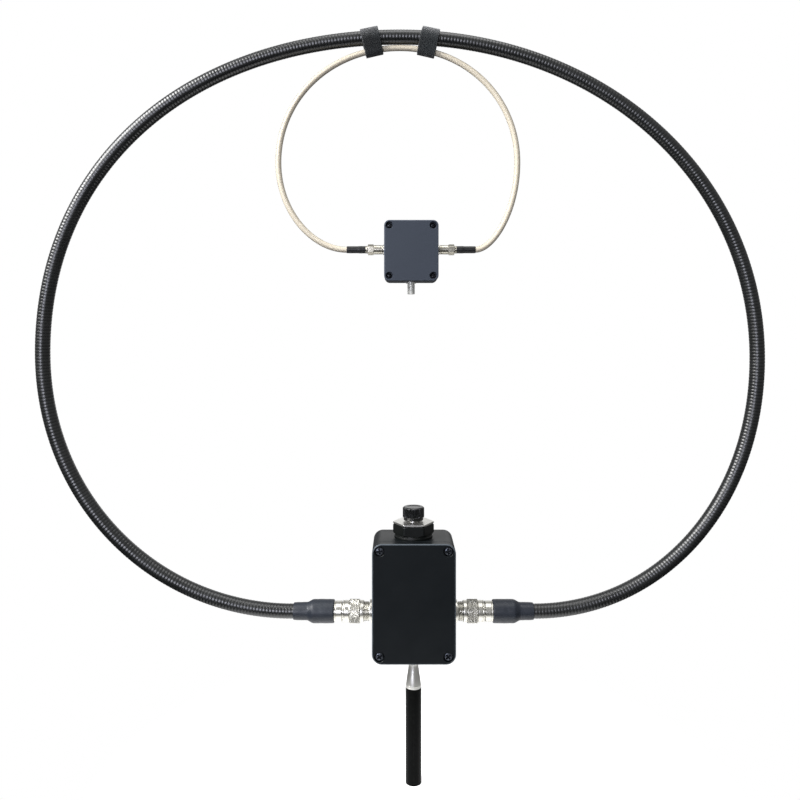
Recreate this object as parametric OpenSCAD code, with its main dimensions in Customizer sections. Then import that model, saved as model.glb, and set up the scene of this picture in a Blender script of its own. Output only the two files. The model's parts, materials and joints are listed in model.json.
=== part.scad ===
// Portable magnetic loop antenna: a ribbed main loop plugged into a tuning box on a
// short mast, with a coupling loop strapped under its crown.
// Millimetres, +Z up, the front faces -Y. The origin is the centre of the mast's lower end.

/* [Mast] */
// Outer diameter of the mast tube
mast_d = 13.4; // [12:0.1:20]
// Wall of the mast tube
mast_wall = 1.2; // [0.8:0.1:2]
// Length of the mast tube below its ferrule
mast_len = 80; // [40:1:300]
// Diameter of the ferrule's rim, which sits on the mast's end
rim_d = 13; // [12.4:0.1:18]
// Height of the rim
rim_h = 2.6; // [1:0.1:6]
// Widest diameter of the flare above the rim
flare_d = 12.4; // [10.5:0.1:16]
// Height of the flare
flare_h = 16; // [8:0.1:24]
// Diameter of the ferrule's neck
neck_d = 8; // [7.8:0.1:10.4]
// Height of the neck
neck_h = 9.6; // [6:0.1:30]
// Depth of the ferrule's spigot inside the mast
spigot_len = 19; // [8:1:30]
// Diameter of the screw stud that carries the tuning box
stud_d = 6.35; // [5:0.05:7]
// Depth of the stud in the ferrule
stud_seat = 12; // [6:0.5:15]
// Length of the stud above the ferrule
stud_reach = 10; // [6:0.5:16]

/* [Tuning box] */
// Width of the tuning box
tuner_w = 68; // [66:0.5:90]
// Height of the tuning box
tuner_h = 97.5; // [92:0.5:140]
// Depth of the tuning box, lid included
tuner_depth = 50; // [48:0.5:80]
// Wall of the tuning box
tuner_wall = 2.5; // [2.2:0.1:3]
// Corner radius of its front outline
tuner_corner_r = 8; // [4:0.5:9]
// Depth of its lid
tuner_lid_depth = 8; // [6:0.5:12]
// Distance of the lid screws from the edges
tuner_screw_inset = 6.1; // [5.9:0.1:8]
// Thread diameter of the tuning box's lid screws
tuner_screw_d = 3; // [2.5:0.1:4]
// Length of the lid screws under the head
tuner_screw_len = 14; // [10:1:25]
// Diameter of their heads
tuner_head_d = 7.2; // [5:0.1:7.4]
// Height of their heads
tuner_head_h = 2.4; // [1.6:0.1:3]
// Diameter of the recess around each head
tuner_recess_d = 8; // [7.8:0.1:8.4]
// Depth of the recess
tuner_recess = 3; // [2.6:0.1:4]
// Height of the loop sockets above the bottom of the box
jack_height = 35; // [30:0.5:40]

/* [Tuning shaft] */
// Diameter of the round base on top of the box
base_d = 32; // [26:0.5:44]
// Height of the round base
base_h = 3; // [1.5:0.1:5]
// Width across the flats of the hexagon nut
nut_flats = 30; // [24:0.5:36]
// Height of the hexagon nut
nut_h = 8.5; // [5:0.1:14]
// Width across the flats of the bright washer on the nut
washer_flats = 30; // [20:0.5:36]
// Thickness of the bright washer
washer_h = 1.5; // [0.8:0.1:3]
// Outer diameter of the shaft's bushing
bush_d = 10; // [9:0.1:12]
// Diameter of the tuning shaft
shaft_d = 6; // [4:0.05:6.5]
// Diameter of the knob
knob_d = 18; // [15:0.5:40]
// Height of the knob
knob_h = 11; // [9:0.1:25]
// Diameter of the knob's narrow foot
knob_foot_d = 16.4; // [13:0.1:18]
// Height of the narrow foot
knob_foot_h = 2.5; // [1:0.1:4]
// Chamfer at the knob's top
knob_chamfer = 1; // [0.3:0.1:2]
// Depth of the shaft's bore in the knob
knob_bore = 8; // [5:0.5:8.5]
// Diameter of the knob's set screw
set_screw_d = 3; // [2:0.1:3.5]
// Gap under the knob
knob_gap = 1.2; // [0.8:0.1:3]

/* [Tuning capacitor] */
// Thickness of a capacitor plate
plate_t = 0.8; // [0.5:0.1:1]
// Distance from one stator plate to the next
plate_pitch = 3.2; // [2.8:0.1:3.4]
// Plates in each stator
stator_plates = 5; // [3:1:5]
// Radius of the half-round rotor plates
rotor_r = 16; // [12:0.5:16.5]
// Distance between the two stators
stator_gap = 5; // [3:0.5:7]
// Thickness of the capacitor's end plates
end_plate_t = 2; // [1.5:0.1:2.5]
// Diameter of the posts that hold the plates and tie the ends
post_d = 3; // [2:0.1:3.4]
// Distance of the posts from the middle
post_x = 12; // [10:0.5:13]
// Height of the stator insulators
insulator_h = 3; // [2:0.1:4]
// Diameter of the stator insulators
insulator_d = 6; // [4:0.1:7]
// Thickness of the strips from the sockets to the stators
strip_t = 0.5; // [0.3:0.1:1]
// Width of the strips
strip_w = 10; // [9:0.5:14]

/* [Loop sockets and plugs] */
// Thread diameter of the sockets
jack_thread_d = 15.9; // [15.4:0.1:17]
// Length of the sockets outside the box
jack_reach = 18; // [16:0.5:20]
// Length of the sockets inside the box wall
jack_tail = 6; // [4.5:0.5:7]
// Diameter of the sockets' flange
jack_flange_d = 19; // [17.5:0.5:22]
// Thickness of the flange
jack_flange_t = 2.5; // [1.5:0.1:4]
// Bore of the sockets
jack_bore_d = 12.3; // [11.6:0.1:12.8]
// Width across the flats of the nut inside the box
jack_nut_flats = 20; // [19:0.5:24]
// Thickness of that nut
jack_nut_t = 3; // [2:0.1:4]
// Diameter of the centre contact
contact_d = 5.8; // [5:0.1:6.4]
// Depth of the mouth in front of the insulator
mouth_depth = 7; // [5:0.1:8]
// Distance from the box wall to the coupling nut
nut_offset = 7.5; // [5:0.1:9]
// Length of the coupling nut
cap_len = 17.5; // [16.5:0.1:20]
// Diameter of the coupling nut's knurled band
cap_d = 19.5; // [18.6:0.1:24]
// Length of the knurled band
cap_band = 8.5; // [6:0.1:10]
// Length of the plain collar between the band and the box
cap_collar = 3.5; // [2:0.1:5]
// Diameter of the plain collars on both sides of the band
cap_collar_d = 17.6; // [17.3:0.1:18.4]
// Thickness of the lip at the nut's back
cap_lip = 2.5; // [1.5:0.1:3]
// Diameter of the plug's neck in the lip
plug_neck_d = 12.8; // [11.6:0.1:13.6]
// Diameter of the plug's shoulder inside the nut
plug_shoulder_d = 15.2; // [14.4:0.1:15.3]
// Diameter of the plug's bore
plug_bore_d = 8.8; // [8:0.1:9.4]
// Diameter of the plug's ring behind the nut
ring_d = 16.8; // [16.2:0.1:19]
// Length of the ring
ring_len = 7; // [4:0.1:10]
// Diameter of the plug's barrel around the tube
barrel_d = 15.2; // [14.2:0.1:16]
// Length of the barrel
barrel_len = 14; // [8:0.5:17]
// Diameter of the plug's centre pin
pin_d = 3.9; // [3:0.05:4.2]
// Depth of the pin in its contact
pin_depth = 10; // [6:0.5:10.5]
// Diameter of the shrink sleeve over the barrel
sleeve_d = 19.5; // [18:0.1:23]
// Length of the wide part of the sleeve
sleeve_wide = 18.5; // [17.5:0.1:26]
// Length of its taper
sleeve_taper = 4; // [2:0.1:8]
// Diameter of its narrow part
sleeve_narrow_d = 14.4; // [13.8:0.1:17]
// Length of its narrow part
sleeve_narrow = 11.5; // [6:0.1:25]

/* [Main loop] */
// Diameter over the ribs of the loop's tube
tube_d = 12.2; // [11:0.1:12.6]
// Depth of the ribs
rib_depth = 0.6; // [0.3:0.05:0.7]
// Ribs around the loop
rib_count = 200; // [40:1:200]
// Wall of the ribbed jacket under the ribs
jacket_wall = 0.9; // [0.7:0.05:1.2]
// Wall of the tubular conductor inside the jacket
conductor_wall = 0.6; // [0.4:0.05:1]
// Straight length of tube past the sleeve
tube_lead = 1; // [0.5:0.5:10]
// Height of the crown above the sockets
loop_rise = 481.3; // [420:0.1:600]
// Height of the widest place on the left above the sockets
side_rise_left = 217.1; // [170:0.1:260]
// Height of the widest place on the right above the sockets
side_rise_right = 212.2; // [170:0.1:260]
// Reach of the loop to the left of the mast
reach_left = 311; // [270:0.1:380]
// Reach of the loop to the right of the mast
reach_right = 288.3; // [250:0.1:360]
// Sideways place of the crown
crown_x = -11.3; // [-20:0.1:20]
// Fullness of the crown on the left, from slack to square
crown_fullness_left = 0.588; // [0.5:0.001:0.64]
// Fullness of the crown on the right
crown_fullness_right = 0.567; // [0.5:0.001:0.64]
// Fullness of the upper left side
upper_fullness_left = 0.599; // [0.5:0.001:0.64]
// Fullness of the upper right side
upper_fullness_right = 0.563; // [0.5:0.001:0.64]
// Fullness of the lower left side
lower_fullness_left = 0.577; // [0.5:0.001:0.64]
// Fullness of the lower right side
lower_fullness_right = 0.582; // [0.5:0.001:0.64]
// Fullness beside the left socket
foot_fullness_left = 0.543; // [0.45:0.001:0.62]
// Fullness beside the right socket
foot_fullness_right = 0.558; // [0.45:0.001:0.62]

/* [Coupling loop] */
// Diameter of the coupling cable
cable_d = 4.95; // [4:0.05:5.4]
// Drop from the cable's crown to the small sockets
cable_drop = 169.2; // [140:0.1:220]
// Drop from the cable's crown to its widest place
cable_side_drop = 96; // [80:0.1:115]
// Reach of the cable to the left of the crown
cable_left = 102; // [90:0.1:125]
// Reach of the cable to the right of the crown
cable_right = 98.4; // [90:0.1:125]
// Fullness of the cable's crown
cable_crown_fullness = 0.575; // [0.5:0.005:0.64]
// Fullness of its sides
cable_side_fullness = 0.56; // [0.5:0.01:0.64]
// Fullness beside the left boot
boot_fullness_left = 0.5; // [0.4:0.01:0.6]
// Fullness beside the right boot
boot_fullness_right = 0.42; // [0.4:0.01:0.6]
// Width of the straps
strap_w = 15; // [12:0.5:19]
// Thickness of the wrapped straps
strap_wall = 2.1; // [1.8:0.1:4]
// Distance of each strap from the crown
strap_place = 24.6; // [20:0.1:28]
// Lean of the straps towards each other at the bottom
strap_lean = 13; // [0:0.5:14]

/* [Coupling box] */
// Width of the coupling box
coupler_w = 44.8; // [43:0.1:56]
// Height of the coupling box
coupler_h = 50; // [46:0.5:70]
// Depth of the coupling box, lid included
coupler_depth = 30; // [27:0.5:45]
// Wall of the coupling box
coupler_wall = 2.2; // [2:0.1:2.6]
// Corner radius of its front outline
coupler_corner_r = 4.5; // [4:0.5:7]
// Depth of its lid
coupler_lid_depth = 6; // [5.5:0.5:8]
// Distance of its lid screws from the edges
coupler_screw_inset = 4.3; // [4.1:0.1:5]
// Thread diameter of its lid screws
coupler_screw_d = 2.2; // [2:0.1:2.6]
// Length of its lid screws under the head
coupler_screw_len = 9; // [6:0.5:16]
// Diameter of their heads
coupler_head_d = 4; // [3.4:0.1:4.6]
// Height of their heads
coupler_head_h = 1.6; // [1.2:0.1:2]
// Diameter of the recess around each head
coupler_recess_d = 5.8; // [5:0.1:6]
// Depth of the recess
coupler_recess = 4.2; // [3:0.1:4.4]
// Sideways place of the box from the crown
coupler_shift = 9.3; // [5:0.1:12]
// Height of the small sockets above the bottom of the box
small_jack_height = 27; // [25:0.5:29]
// Gap between the junction board's edges and the small sockets
board_side_gap = 1.2; // [0.6:0.1:2]
// Height of the junction board
board_h = 33; // [31:0.5:33.5]
// Thickness of the junction board
board_t = 1.6; // [1:0.1:2]
// Middle radius of the ferrite ring
core_r = 6.5; // [5:0.1:7]
// Side of the ferrite ring's square section
core_side = 4; // [3:0.1:4.5]
// Diameter of the wire around it
wire_d = 0.8; // [0.4:0.1:0.9]
// Turns of wire around it
wire_turns = 8; // [5:1:9]

/* [Small sockets and plugs] */
// Thread diameter of the small sockets
small_thread_d = 6.35; // [6.2:0.05:6.6]
// Length of the left and right sockets outside the box
small_reach = 6.5; // [5.5:0.1:7]
// Length of the feed socket outside the box
feed_reach = 10.3; // [8:0.1:14]
// Length of the small sockets inside the wall
small_tail = 4; // [3.2:0.1:4.4]
// Diameter of the small sockets' flange
small_flange_d = 8.4; // [7.6:0.1:9.5]
// Thickness of the flange
small_flange_t = 1.3; // [1:0.1:1.6]
// Bore of the small sockets
small_bore_d = 4.2; // [3.8:0.1:4.6]
// Diameter of their centre pins
small_pin_d = 1.3; // [0.9:0.05:1.5]
// Length of the pins behind the sockets
small_pin_tail = 3; // [2.4:0.1:3.6]
// Width across the flats of the nuts inside the box
small_nut_flats = 8; // [7.8:0.1:9]
// Thickness of those nuts
small_nut_t = 2; // [1.5:0.1:2.5]
// Width across the flats of the coupling nuts
small_cap_flats = 8; // [7.9:0.1:9]
// Length of the coupling nuts
small_cap_len = 12.2; // [11.6:0.1:14]
// Length of the round skirt at the front of the coupling nuts
small_skirt_len = 7.3; // [6:0.1:8.5]
// Diameter of the skirt
small_skirt_d = 7.7; // [7.4:0.05:7.8]
// Thickness of the lip at the back of the coupling nuts
small_lip = 1.2; // [0.8:0.1:1.4]
// Diameter of the plug's neck in the lip
small_neck_d = 4.4; // [4:0.1:4.8]
// Diameter of the plug's shoulder inside the nut
small_shoulder_d = 5.6; // [5.2:0.1:5.8]
// Diameter of the plug's barrel
small_barrel_d = 6.4; // [5.8:0.1:7]
// Length of the barrel
small_barrel_len = 1.6; // [1:0.1:4]
// Diameter of the boots
boot_d = 6.2; // [6:0.1:8]
// Length of the boots
boot_len = 15.8; // [10:0.1:24]

/* [Fits] */
// Radial gap of fixed pieces in their seats
fit_gap = 0.05; // [0.02:0.01:0.08]
// Radial gap of turning pieces in their bores
run_gap = 0.08; // [0.04:0.01:0.1]
// Gap between turning faces
face_gap = 0.3; // [0.25:0.05:0.5]
// Radial gap between a strap and the tube it turns on
strap_gap = 0.7; // [0.65:0.05:1]
// Gap between the coupling cable and the tube above it
cable_gap = 0.5; // [0.5:0.05:1]
// Radial gap around the coupling cable in its strap
cable_fit = 0.4; // [0.35:0.05:0.5]
// Gap between the rotor and what stands around it
rotor_gap = 0.6; // [0.4:0.1:0.8]
// Margin of a plate around what it holds
plate_edge = 0.8; // [0.5:0.1:1]
// Width of the seals between boxes and lids
seal_w = 1; // [0.8:0.1:1.2]
// Thickness of the seals
seal_t = 1.2; // [0.8:0.1:1.6]

/* [Hidden] */
$fn = 48;
// How far a cutter passes beyond the face that it cuts
cut = 1;
LEFT = -1;
RIGHT = 1;

// Heights on the mast
rim_top = mast_len + rim_h;
flare_top = rim_top + flare_h;
neck_top = flare_top + neck_h;
stud_base = neck_top - stud_seat;
tuner_bottom = neck_top + face_gap;
tuner_top = tuner_bottom + tuner_h;
tuner_mid = tuner_bottom + tuner_h / 2;
tuner_front = -tuner_depth / 2;
tuner_split = tuner_front + tuner_lid_depth;
tuner_back = tuner_depth / 2;

// The insert that the stud screws into
insert_wall = 2.8;
insert_d = stud_d + 2 * (run_gap + insert_wall);
insert_collar = 2;
stud_tip_gap = 1.5;
insert_top = neck_top + stud_reach + stud_tip_gap;

// Stack on top of the tuning box
base_top = tuner_top + base_h;
nut_top = base_top + nut_h;
washer_top = nut_top + washer_h;
bush_top = washer_top + knob_gap / 2;
knob_bottom = washer_top + knob_gap;
bush_collar = 1.5;
shaft_top = knob_bottom + knob_bore;

// Capacitor, hung from the inside of the box's top
cap_top = tuner_top - tuner_wall;
stack_h = (stator_plates - 1) * plate_pitch + plate_t;
stack_end_gap = 2;
upper_stack = cap_top - end_plate_t - insulator_h - stack_end_gap - stack_h;
lower_stack = upper_stack - stator_gap - stack_h;
frame_floor = lower_stack - stack_end_gap - insulator_h;
shaft_foot = 2;
shaft_bottom = frame_floor - end_plate_t - shaft_foot;
air_gap = (plate_pitch - 2 * plate_t) / 2;
hub_wall = 2;
hub_r = shaft_d / 2 + hub_wall;
hub_end = 0.5;
hub_gap = 1.5;
stator_notch = hub_r + hub_gap;
stator_front = 1.2;
post_y = rotor_r + rotor_gap + post_d / 2;
stator_back = post_y + post_d / 2 + plate_edge;
strip_gap = 4;
strip_x = rotor_r + strip_gap;
stator_short = 2;
frame_half_x = post_x + insulator_d / 2 + plate_edge;
strip_tip = 1;

// Distances along the socket axis, from the middle of the tuning box
jack_z = tuner_bottom + jack_height;
wall_out = tuner_w / 2;
wall_in = wall_out - tuner_wall;
jack_inner = wall_in - jack_tail;
jack_end = wall_out + jack_reach;
insulator_front = jack_end - mouth_depth;
cap_start = wall_out + nut_offset;
cap_end = cap_start + cap_len;
nose_start = insulator_front + face_gap;
ring_start = cap_end + face_gap;
tube_start = ring_start + ring_len;
barrel_end = tube_start + barrel_len;
sleeve_wide_end = tube_start + sleeve_wide;
sleeve_taper_end = sleeve_wide_end + sleeve_taper;
sleeve_end = sleeve_taper_end + sleeve_narrow;
pin_tip = insulator_front - pin_depth;
pin_disc_t = 1.5;
contact_inner = strip_x - strip_tip;

// Main loop
loop_foot = sleeve_end + tube_lead;
crown_z = jack_z + loop_rise;
tube_r = tube_d / 2;
jacket_bore_r = tube_r - rib_depth - jacket_wall;
conductor_gap = 0.3;
conductor_r = jacket_bore_r - conductor_gap;
tube_sides = 8;
bore_rings = 72;
curve_steps = 48;

// Coupling loop and box
cable_r = cable_d / 2;
cable_sides = 12;
cable_rings = 76;
cable_crown_z = crown_z - tube_r - cable_gap - cable_r;
small_jack_z = cable_crown_z - cable_drop;
coupler_x = crown_x + coupler_shift;
coupler_bottom = small_jack_z - small_jack_height;
coupler_mid = coupler_bottom + coupler_h / 2;
coupler_front = -coupler_depth / 2;
coupler_split = coupler_front + coupler_lid_depth;
coupler_back = coupler_depth / 2;

// Distances along the small sockets' axis, from the middle of the coupling box
small_wall = coupler_w / 2;
small_inner = small_wall - coupler_wall - small_tail;
small_end = small_wall + small_reach;
small_cap_start = small_wall + small_flange_t + face_gap;
small_cap_end = small_cap_start + small_cap_len;
small_skirt_end = small_cap_start + small_skirt_len;
small_shoulder_end = small_cap_end - small_lip - face_gap;
small_barrel_start = small_cap_end + face_gap;
small_barrel_end = small_barrel_start + small_barrel_len;
boot_end = small_barrel_end + boot_len;
small_mouth = 2;

// Junction board, which the small sockets' pins lie on
board_w = 2 * (small_inner - board_side_gap);
board_front = small_pin_d / 2;
board_back = board_front + board_t;
board_lift = 1.5;
boss_d = 4;
boss_share_x = 0.35;
boss_share_z = 0.38;
turn_gap = 0.1;
core_corner = norm([core_side, core_side]) / 2;
turn_r = core_corner + turn_gap + wire_d / 2;

// Curves of the two loops, in the X and Z directions

// A point on a quarter turn that leaves a level and reaches b upright
function quarter_point(a, b, level, upright, t) =
    let (u = 1 - t,
         a_handle = [a.x + level * (b.x - a.x), a.y],
         b_handle = [b.x, b.y + upright * (a.y - b.y)])
    u * u * u * a + 3 * u * u * t * a_handle + 3 * u * t * t * b_handle + t * t * t * b;

function quarter(a, b, level, upright) =
    [for (i = [0 : curve_steps]) quarter_point(a, b, level, upright, i / curve_steps)];

function tail(v) = [for (i = [1 : len(v) - 1]) v[i]];

function reversed(v) = [for (i = [len(v) - 1 : -1 : 0]) v[i]];

// Running length at each point of a path
function running(v) =
    [for (i = 0, s = 0; i < len(v); s = s + (i + 1 < len(v) ? norm(v[i + 1] - v[i]) : 0), i = i + 1) s];

// A path as its length, and its x and z looked up by length
function route(v) =
    let (s = running(v))
    [s[len(s) - 1],
     [for (i = [0 : len(v) - 1]) [s[i], v[i].x]],
     [for (i = [0 : len(v) - 1]) [s[i], v[i].y]]];

function spot(way, s) = [lookup(s, way[1]), lookup(s, way[2])];

// Direction of a route, in degrees from +X towards +Z
function heading(way, s) =
    let (step = 2, a = spot(way, s - step), b = spot(way, s + step))
    atan2(b.y - a.y, b.x - a.x);

// Points of one ring around a route
function ring(way, s, r, sides) =
    let (c = spot(way, s), h = heading(way, s))
    [for (k = [0 : sides - 1])
        let (f = 360 * k / sides)
        [c.x - sin(h) * cos(f) * r, sin(f) * r, c.y + cos(h) * cos(f) * r]];

// Lengths along a route between two of its places, evenly spaced
function evenly(from, to, count) = [for (i = [0 : count - 1]) from + (to - from) * i / (count - 1)];

function rings_at(way, places, radii, sides) =
    [for (i = [0 : len(places) - 1]) each ring(way, places[i], radii[i], sides)];

// Rings from end to end of a route
function rings_of(way, radii, sides) = rings_at(way, evenly(0, way[0], len(radii)), radii, sides);

// Triangles between rings, facing away from the route
function skin(first, rings, sides) =
    [for (i = [0 : rings - 2], k = [0 : sides - 1])
        let (n = (k + 1) % sides,
             a = first + i * sides + k,
             b = first + i * sides + n,
             c = a + sides,
             d = b + sides)
        each [[a, b, c], [b, d, c]]];

function flipped(faces) = [for (f = faces) [f[0], f[2], f[1]]];

// Triangles of a flat end between an outer and an inner ring
function end_ring(outer, inner, sides) =
    [for (k = [0 : sides - 1])
        let (n = (k + 1) % sides)
        each [[outer + k, outer + n, inner + n], [outer + k, inner + n, inner + k]]];

function end_disc(first, sides) = [for (k = [1 : sides - 2]) [first, first + k, first + k + 1]];

foot_left = [-loop_foot, jack_z];
foot_right = [loop_foot, jack_z];
side_left = [-reach_left, jack_z + side_rise_left];
side_right = [reach_right, jack_z + side_rise_right];
crown = [crown_x, crown_z];
crown_left = quarter(crown, side_left, crown_fullness_left, upper_fullness_left);
crown_right = quarter(crown, side_right, crown_fullness_right, upper_fullness_right);
loop_way = route(concat(
    [[-tube_start, jack_z]],
    quarter(foot_left, side_left, foot_fullness_left, lower_fullness_left),
    tail(reversed(crown_left)),
    tail(crown_right),
    tail(reversed(quarter(foot_right, side_right, foot_fullness_right, lower_fullness_right))),
    [[tube_start, jack_z]]));

cable_foot_left = [coupler_x - boot_end, small_jack_z];
cable_foot_right = [coupler_x + boot_end, small_jack_z];
cable_side_left = [crown_x - cable_left, cable_crown_z - cable_side_drop];
cable_side_right = [crown_x + cable_right, cable_crown_z - cable_side_drop];
cable_crown = [crown_x, cable_crown_z];
cable_over_left = quarter(cable_crown, cable_side_left, cable_crown_fullness, cable_side_fullness);
cable_over_right = quarter(cable_crown, cable_side_right, cable_crown_fullness, cable_side_fullness);
cable_way = route(concat(
    [[coupler_x - small_barrel_end, small_jack_z]],
    quarter(cable_foot_left, cable_side_left, boot_fullness_left, cable_side_fullness),
    tail(reversed(cable_over_left)),
    tail(cable_over_right),
    tail(reversed(quarter(cable_foot_right, cable_side_right, boot_fullness_right, cable_side_fullness))),
    [[coupler_x + small_barrel_end, small_jack_z]]));

// Height of a curve above a sideways place near its crown
function height_at(points, x) = lookup(x, [for (p = points) [p.x, p.y]]);

function slope_at(points, x) =
    let (step = 2)
    atan2(height_at(points, x + step) - height_at(points, x - step), 2 * step);

// Height of the level axis that both straps turn on
swing_z = (height_at(crown_left, crown_x - strap_place) + height_at(crown_right, crown_x + strap_place)) / 2;

// Shared shapes

module pipe(outer_r, inner_r, low, high) {
    translate([0, 0, low])
        difference() {
            cylinder(h = high - low, r = outer_r);
            translate([0, 0, -cut])
                cylinder(h = high - low + 2 * cut, r = inner_r);
        }
}

module rod(r, low, high) {
    translate([0, 0, low])
        cylinder(h = high - low, r = r);
}

// A rod that runs front to back
module rod_y(r, front, back) {
    translate([0, front, 0])
        rotate([-90, 0, 0])
            cylinder(h = back - front, r = r);
}

module hex_nut(flats, bore_r, low, high) {
    difference() {
        translate([0, 0, low])
            cylinder(h = high - low, r = flats / 2 / cos(30), $fn = 6);
        rod(bore_r, low - cut, high + cut);
    }
}

module rounded_outline(w, h, r) {
    square([w - 2 * r, h], center = true);
    square([w, h - 2 * r], center = true);
    for (x = [-1, 1], y = [-1, 1])
        translate([x * (w / 2 - r), y * (h / 2 - r)])
            circle(r);
}

// An upright rounded block between two places front to back
module slab(w, h, r, front, back) {
    translate([0, back, 0])
        rotate([90, 0, 0])
            linear_extrude(back - front)
                rounded_outline(w, h, r);
}

module at_corners(w, h, inset) {
    for (x = [-1, 1], z = [-1, 1])
        translate([x * (w / 2 - inset), 0, z * (h / 2 - inset)])
            children();
}

module corner_pillars(w, h, r, inset, pillar_r, front, back) {
    intersection() {
        slab(w, h, r, front, back);
        at_corners(w, h, inset)
            rod_y(pillar_r, front, back);
    }
}

// The deep half of a box, open to the front, with screw pillars in its corners
module box_case(w, h, r, wall, split, back, inset, pillar_r, hole_r, hole_depth) {
    difference() {
        union() {
            difference() {
                slab(w, h, r, split, back);
                slab(w - 2 * wall, h - 2 * wall, r - wall, split - cut, back - wall);
            }
            corner_pillars(w, h, r, inset, pillar_r, split, back - wall / 2);
        }
        at_corners(w, h, inset)
            rod_y(hole_r, split - cut, split + hole_depth);
    }
}

module seal_ring(w, h, r, wall, spare, front, back) {
    outer = (wall - seal_w) / 2 - spare;
    inner = (wall + seal_w) / 2 + spare;
    difference() {
        slab(w - 2 * outer, h - 2 * outer, r - outer, front, back);
        slab(w - 2 * inner, h - 2 * inner, r - inner, front - cut, back + cut);
    }
}

// The front half of a box, with screw recesses and a groove for the seal
module box_lid(w, h, r, wall, front, split, inset, pillar_r, hole_r, recess_r, recess) {
    difference() {
        union() {
            difference() {
                slab(w, h, r, front, split);
                slab(w - 2 * wall, h - 2 * wall, r - wall, front + wall, split + cut);
            }
            corner_pillars(w, h, r, inset, pillar_r, front + wall / 2, split);
        }
        at_corners(w, h, inset) {
            rod_y(hole_r, front - cut, split + cut);
            rod_y(recess_r, front - cut, front + recess);
        }
        seal_ring(w, h, r, wall, fit_gap, split - seal_t, split + cut);
    }
}

// A cross-head screw that points to the back, with its seat at the given place
module lid_screw(d, len, head_d, head_h, seat) {
    slot_w = head_d / 6;
    slot_len = head_d * 0.62;
    slot_depth = head_h / 2;
    rod_y(d / 2, seat - head_h / 2, seat + len);
    difference() {
        rod_y(head_d / 2, seat - head_h, seat);
        for (turn = [0, 90])
            translate([0, seat - head_h, 0])
                rotate([0, turn, 0])
                    cube([slot_len, 2 * slot_depth, slot_w], center = true);
    }
}

// The direction of a loop socket, with its distance from the box along +Z
module at_jack(side) {
    translate([0, 0, jack_z])
        rotate([0, side * 90, 0])
            children();
}

module at_small_jack(side) {
    translate([coupler_x, 0, small_jack_z])
        rotate([0, side * 90, 0])
            children();
}

// The feed socket, with its distance from the middle of the box along +Z
feed_wall = coupler_h / 2;
feed_inner = feed_wall - coupler_wall - small_tail;
feed_end = feed_wall + feed_reach;
module at_feed_jack() {
    translate([coupler_x, 0, coupler_mid])
        rotate([180, 0, 0])
            children();
}

// Mast

module mast_tube() {
    color("#17181a")
        pipe(mast_d / 2, mast_d / 2 - mast_wall, 0, mast_len);
}

module mast_ferrule() {
    spigot_r = mast_d / 2 - mast_wall - fit_gap;
    seat_r = stud_d / 2 + fit_gap;
    color("#c9c9c6")
        rotate_extrude()
            polygon([
                [0, mast_len - spigot_len], [spigot_r, mast_len - spigot_len],
                [spigot_r, mast_len], [rim_d / 2, mast_len], [rim_d / 2, rim_top],
                [flare_d / 2, rim_top], [neck_d / 2, flare_top], [neck_d / 2, neck_top],
                [seat_r, neck_top], [seat_r, stud_base], [0, stud_base]]);
}

module mast_stud() {
    color("#b8b8b8")
        rod(stud_d / 2, stud_base, neck_top + stud_reach);
}

// Tuning box

tuner_pillar_r = tuner_recess_d / 2 + plate_edge;
tuner_screw_hole = tuner_screw_d / 2 + fit_gap;
tuner_seat = tuner_front + tuner_recess;

module in_tuner() {
    translate([0, 0, tuner_mid])
        children();
}

module tuner_case() {
    color("#1f2327")
        difference() {
            in_tuner()
                box_case(tuner_w, tuner_h, tuner_corner_r, tuner_wall, tuner_split, tuner_back,
                    tuner_screw_inset, tuner_pillar_r, tuner_screw_hole,
                    tuner_seat + tuner_screw_len - tuner_split);
            rod(bush_d / 2 + fit_gap, cap_top - cut, tuner_top + cut);
            rod(insert_d / 2 + fit_gap, tuner_bottom - cut, tuner_bottom + tuner_wall + cut);
            for (side = [LEFT, RIGHT])
                at_jack(side)
                    rod(jack_thread_d / 2 + fit_gap, wall_in - cut, wall_out + cut);
        }
}

module tuner_lid() {
    color("#23272b")
        in_tuner()
            box_lid(tuner_w, tuner_h, tuner_corner_r, tuner_wall, tuner_front, tuner_split,
                tuner_screw_inset, tuner_pillar_r, tuner_screw_hole,
                tuner_recess_d / 2, tuner_recess);
}

module tuner_seal() {
    color("#111111")
        in_tuner()
            seal_ring(tuner_w, tuner_h, tuner_corner_r, tuner_wall, 0, tuner_split - seal_t, tuner_split);
}

module tuner_lid_screws() {
    color("#0e0f10")
        in_tuner()
            at_corners(tuner_w, tuner_h, tuner_screw_inset)
                lid_screw(tuner_screw_d, tuner_screw_len, tuner_head_d, tuner_head_h, tuner_seat);
}

module mast_insert() {
    floor_z = tuner_bottom + tuner_wall;
    bore_r = stud_d / 2 + run_gap;
    color("#b08d4a")
        rotate_extrude()
            polygon([
                [bore_r, tuner_bottom], [insert_d / 2, tuner_bottom], [insert_d / 2, floor_z],
                [insert_d / 2 + insert_collar, floor_z],
                [insert_d / 2 + insert_collar, floor_z + insert_collar],
                [insert_d / 2, floor_z + insert_collar], [insert_d / 2, insert_top],
                [bore_r, insert_top]]);
}

// Stack and knob on top of the tuning box

bush_hole = bush_d / 2 + fit_gap;

module gland_base() {
    color("#1b1d1f")
        pipe(base_d / 2, bush_hole, tuner_top, base_top);
}

module gland_nut() {
    color("#121314")
        hex_nut(nut_flats, bush_hole, base_top, nut_top);
}

module gland_washer() {
    color("#c4c4c0")
        hex_nut(washer_flats, bush_hole, nut_top, washer_top);
}

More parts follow.
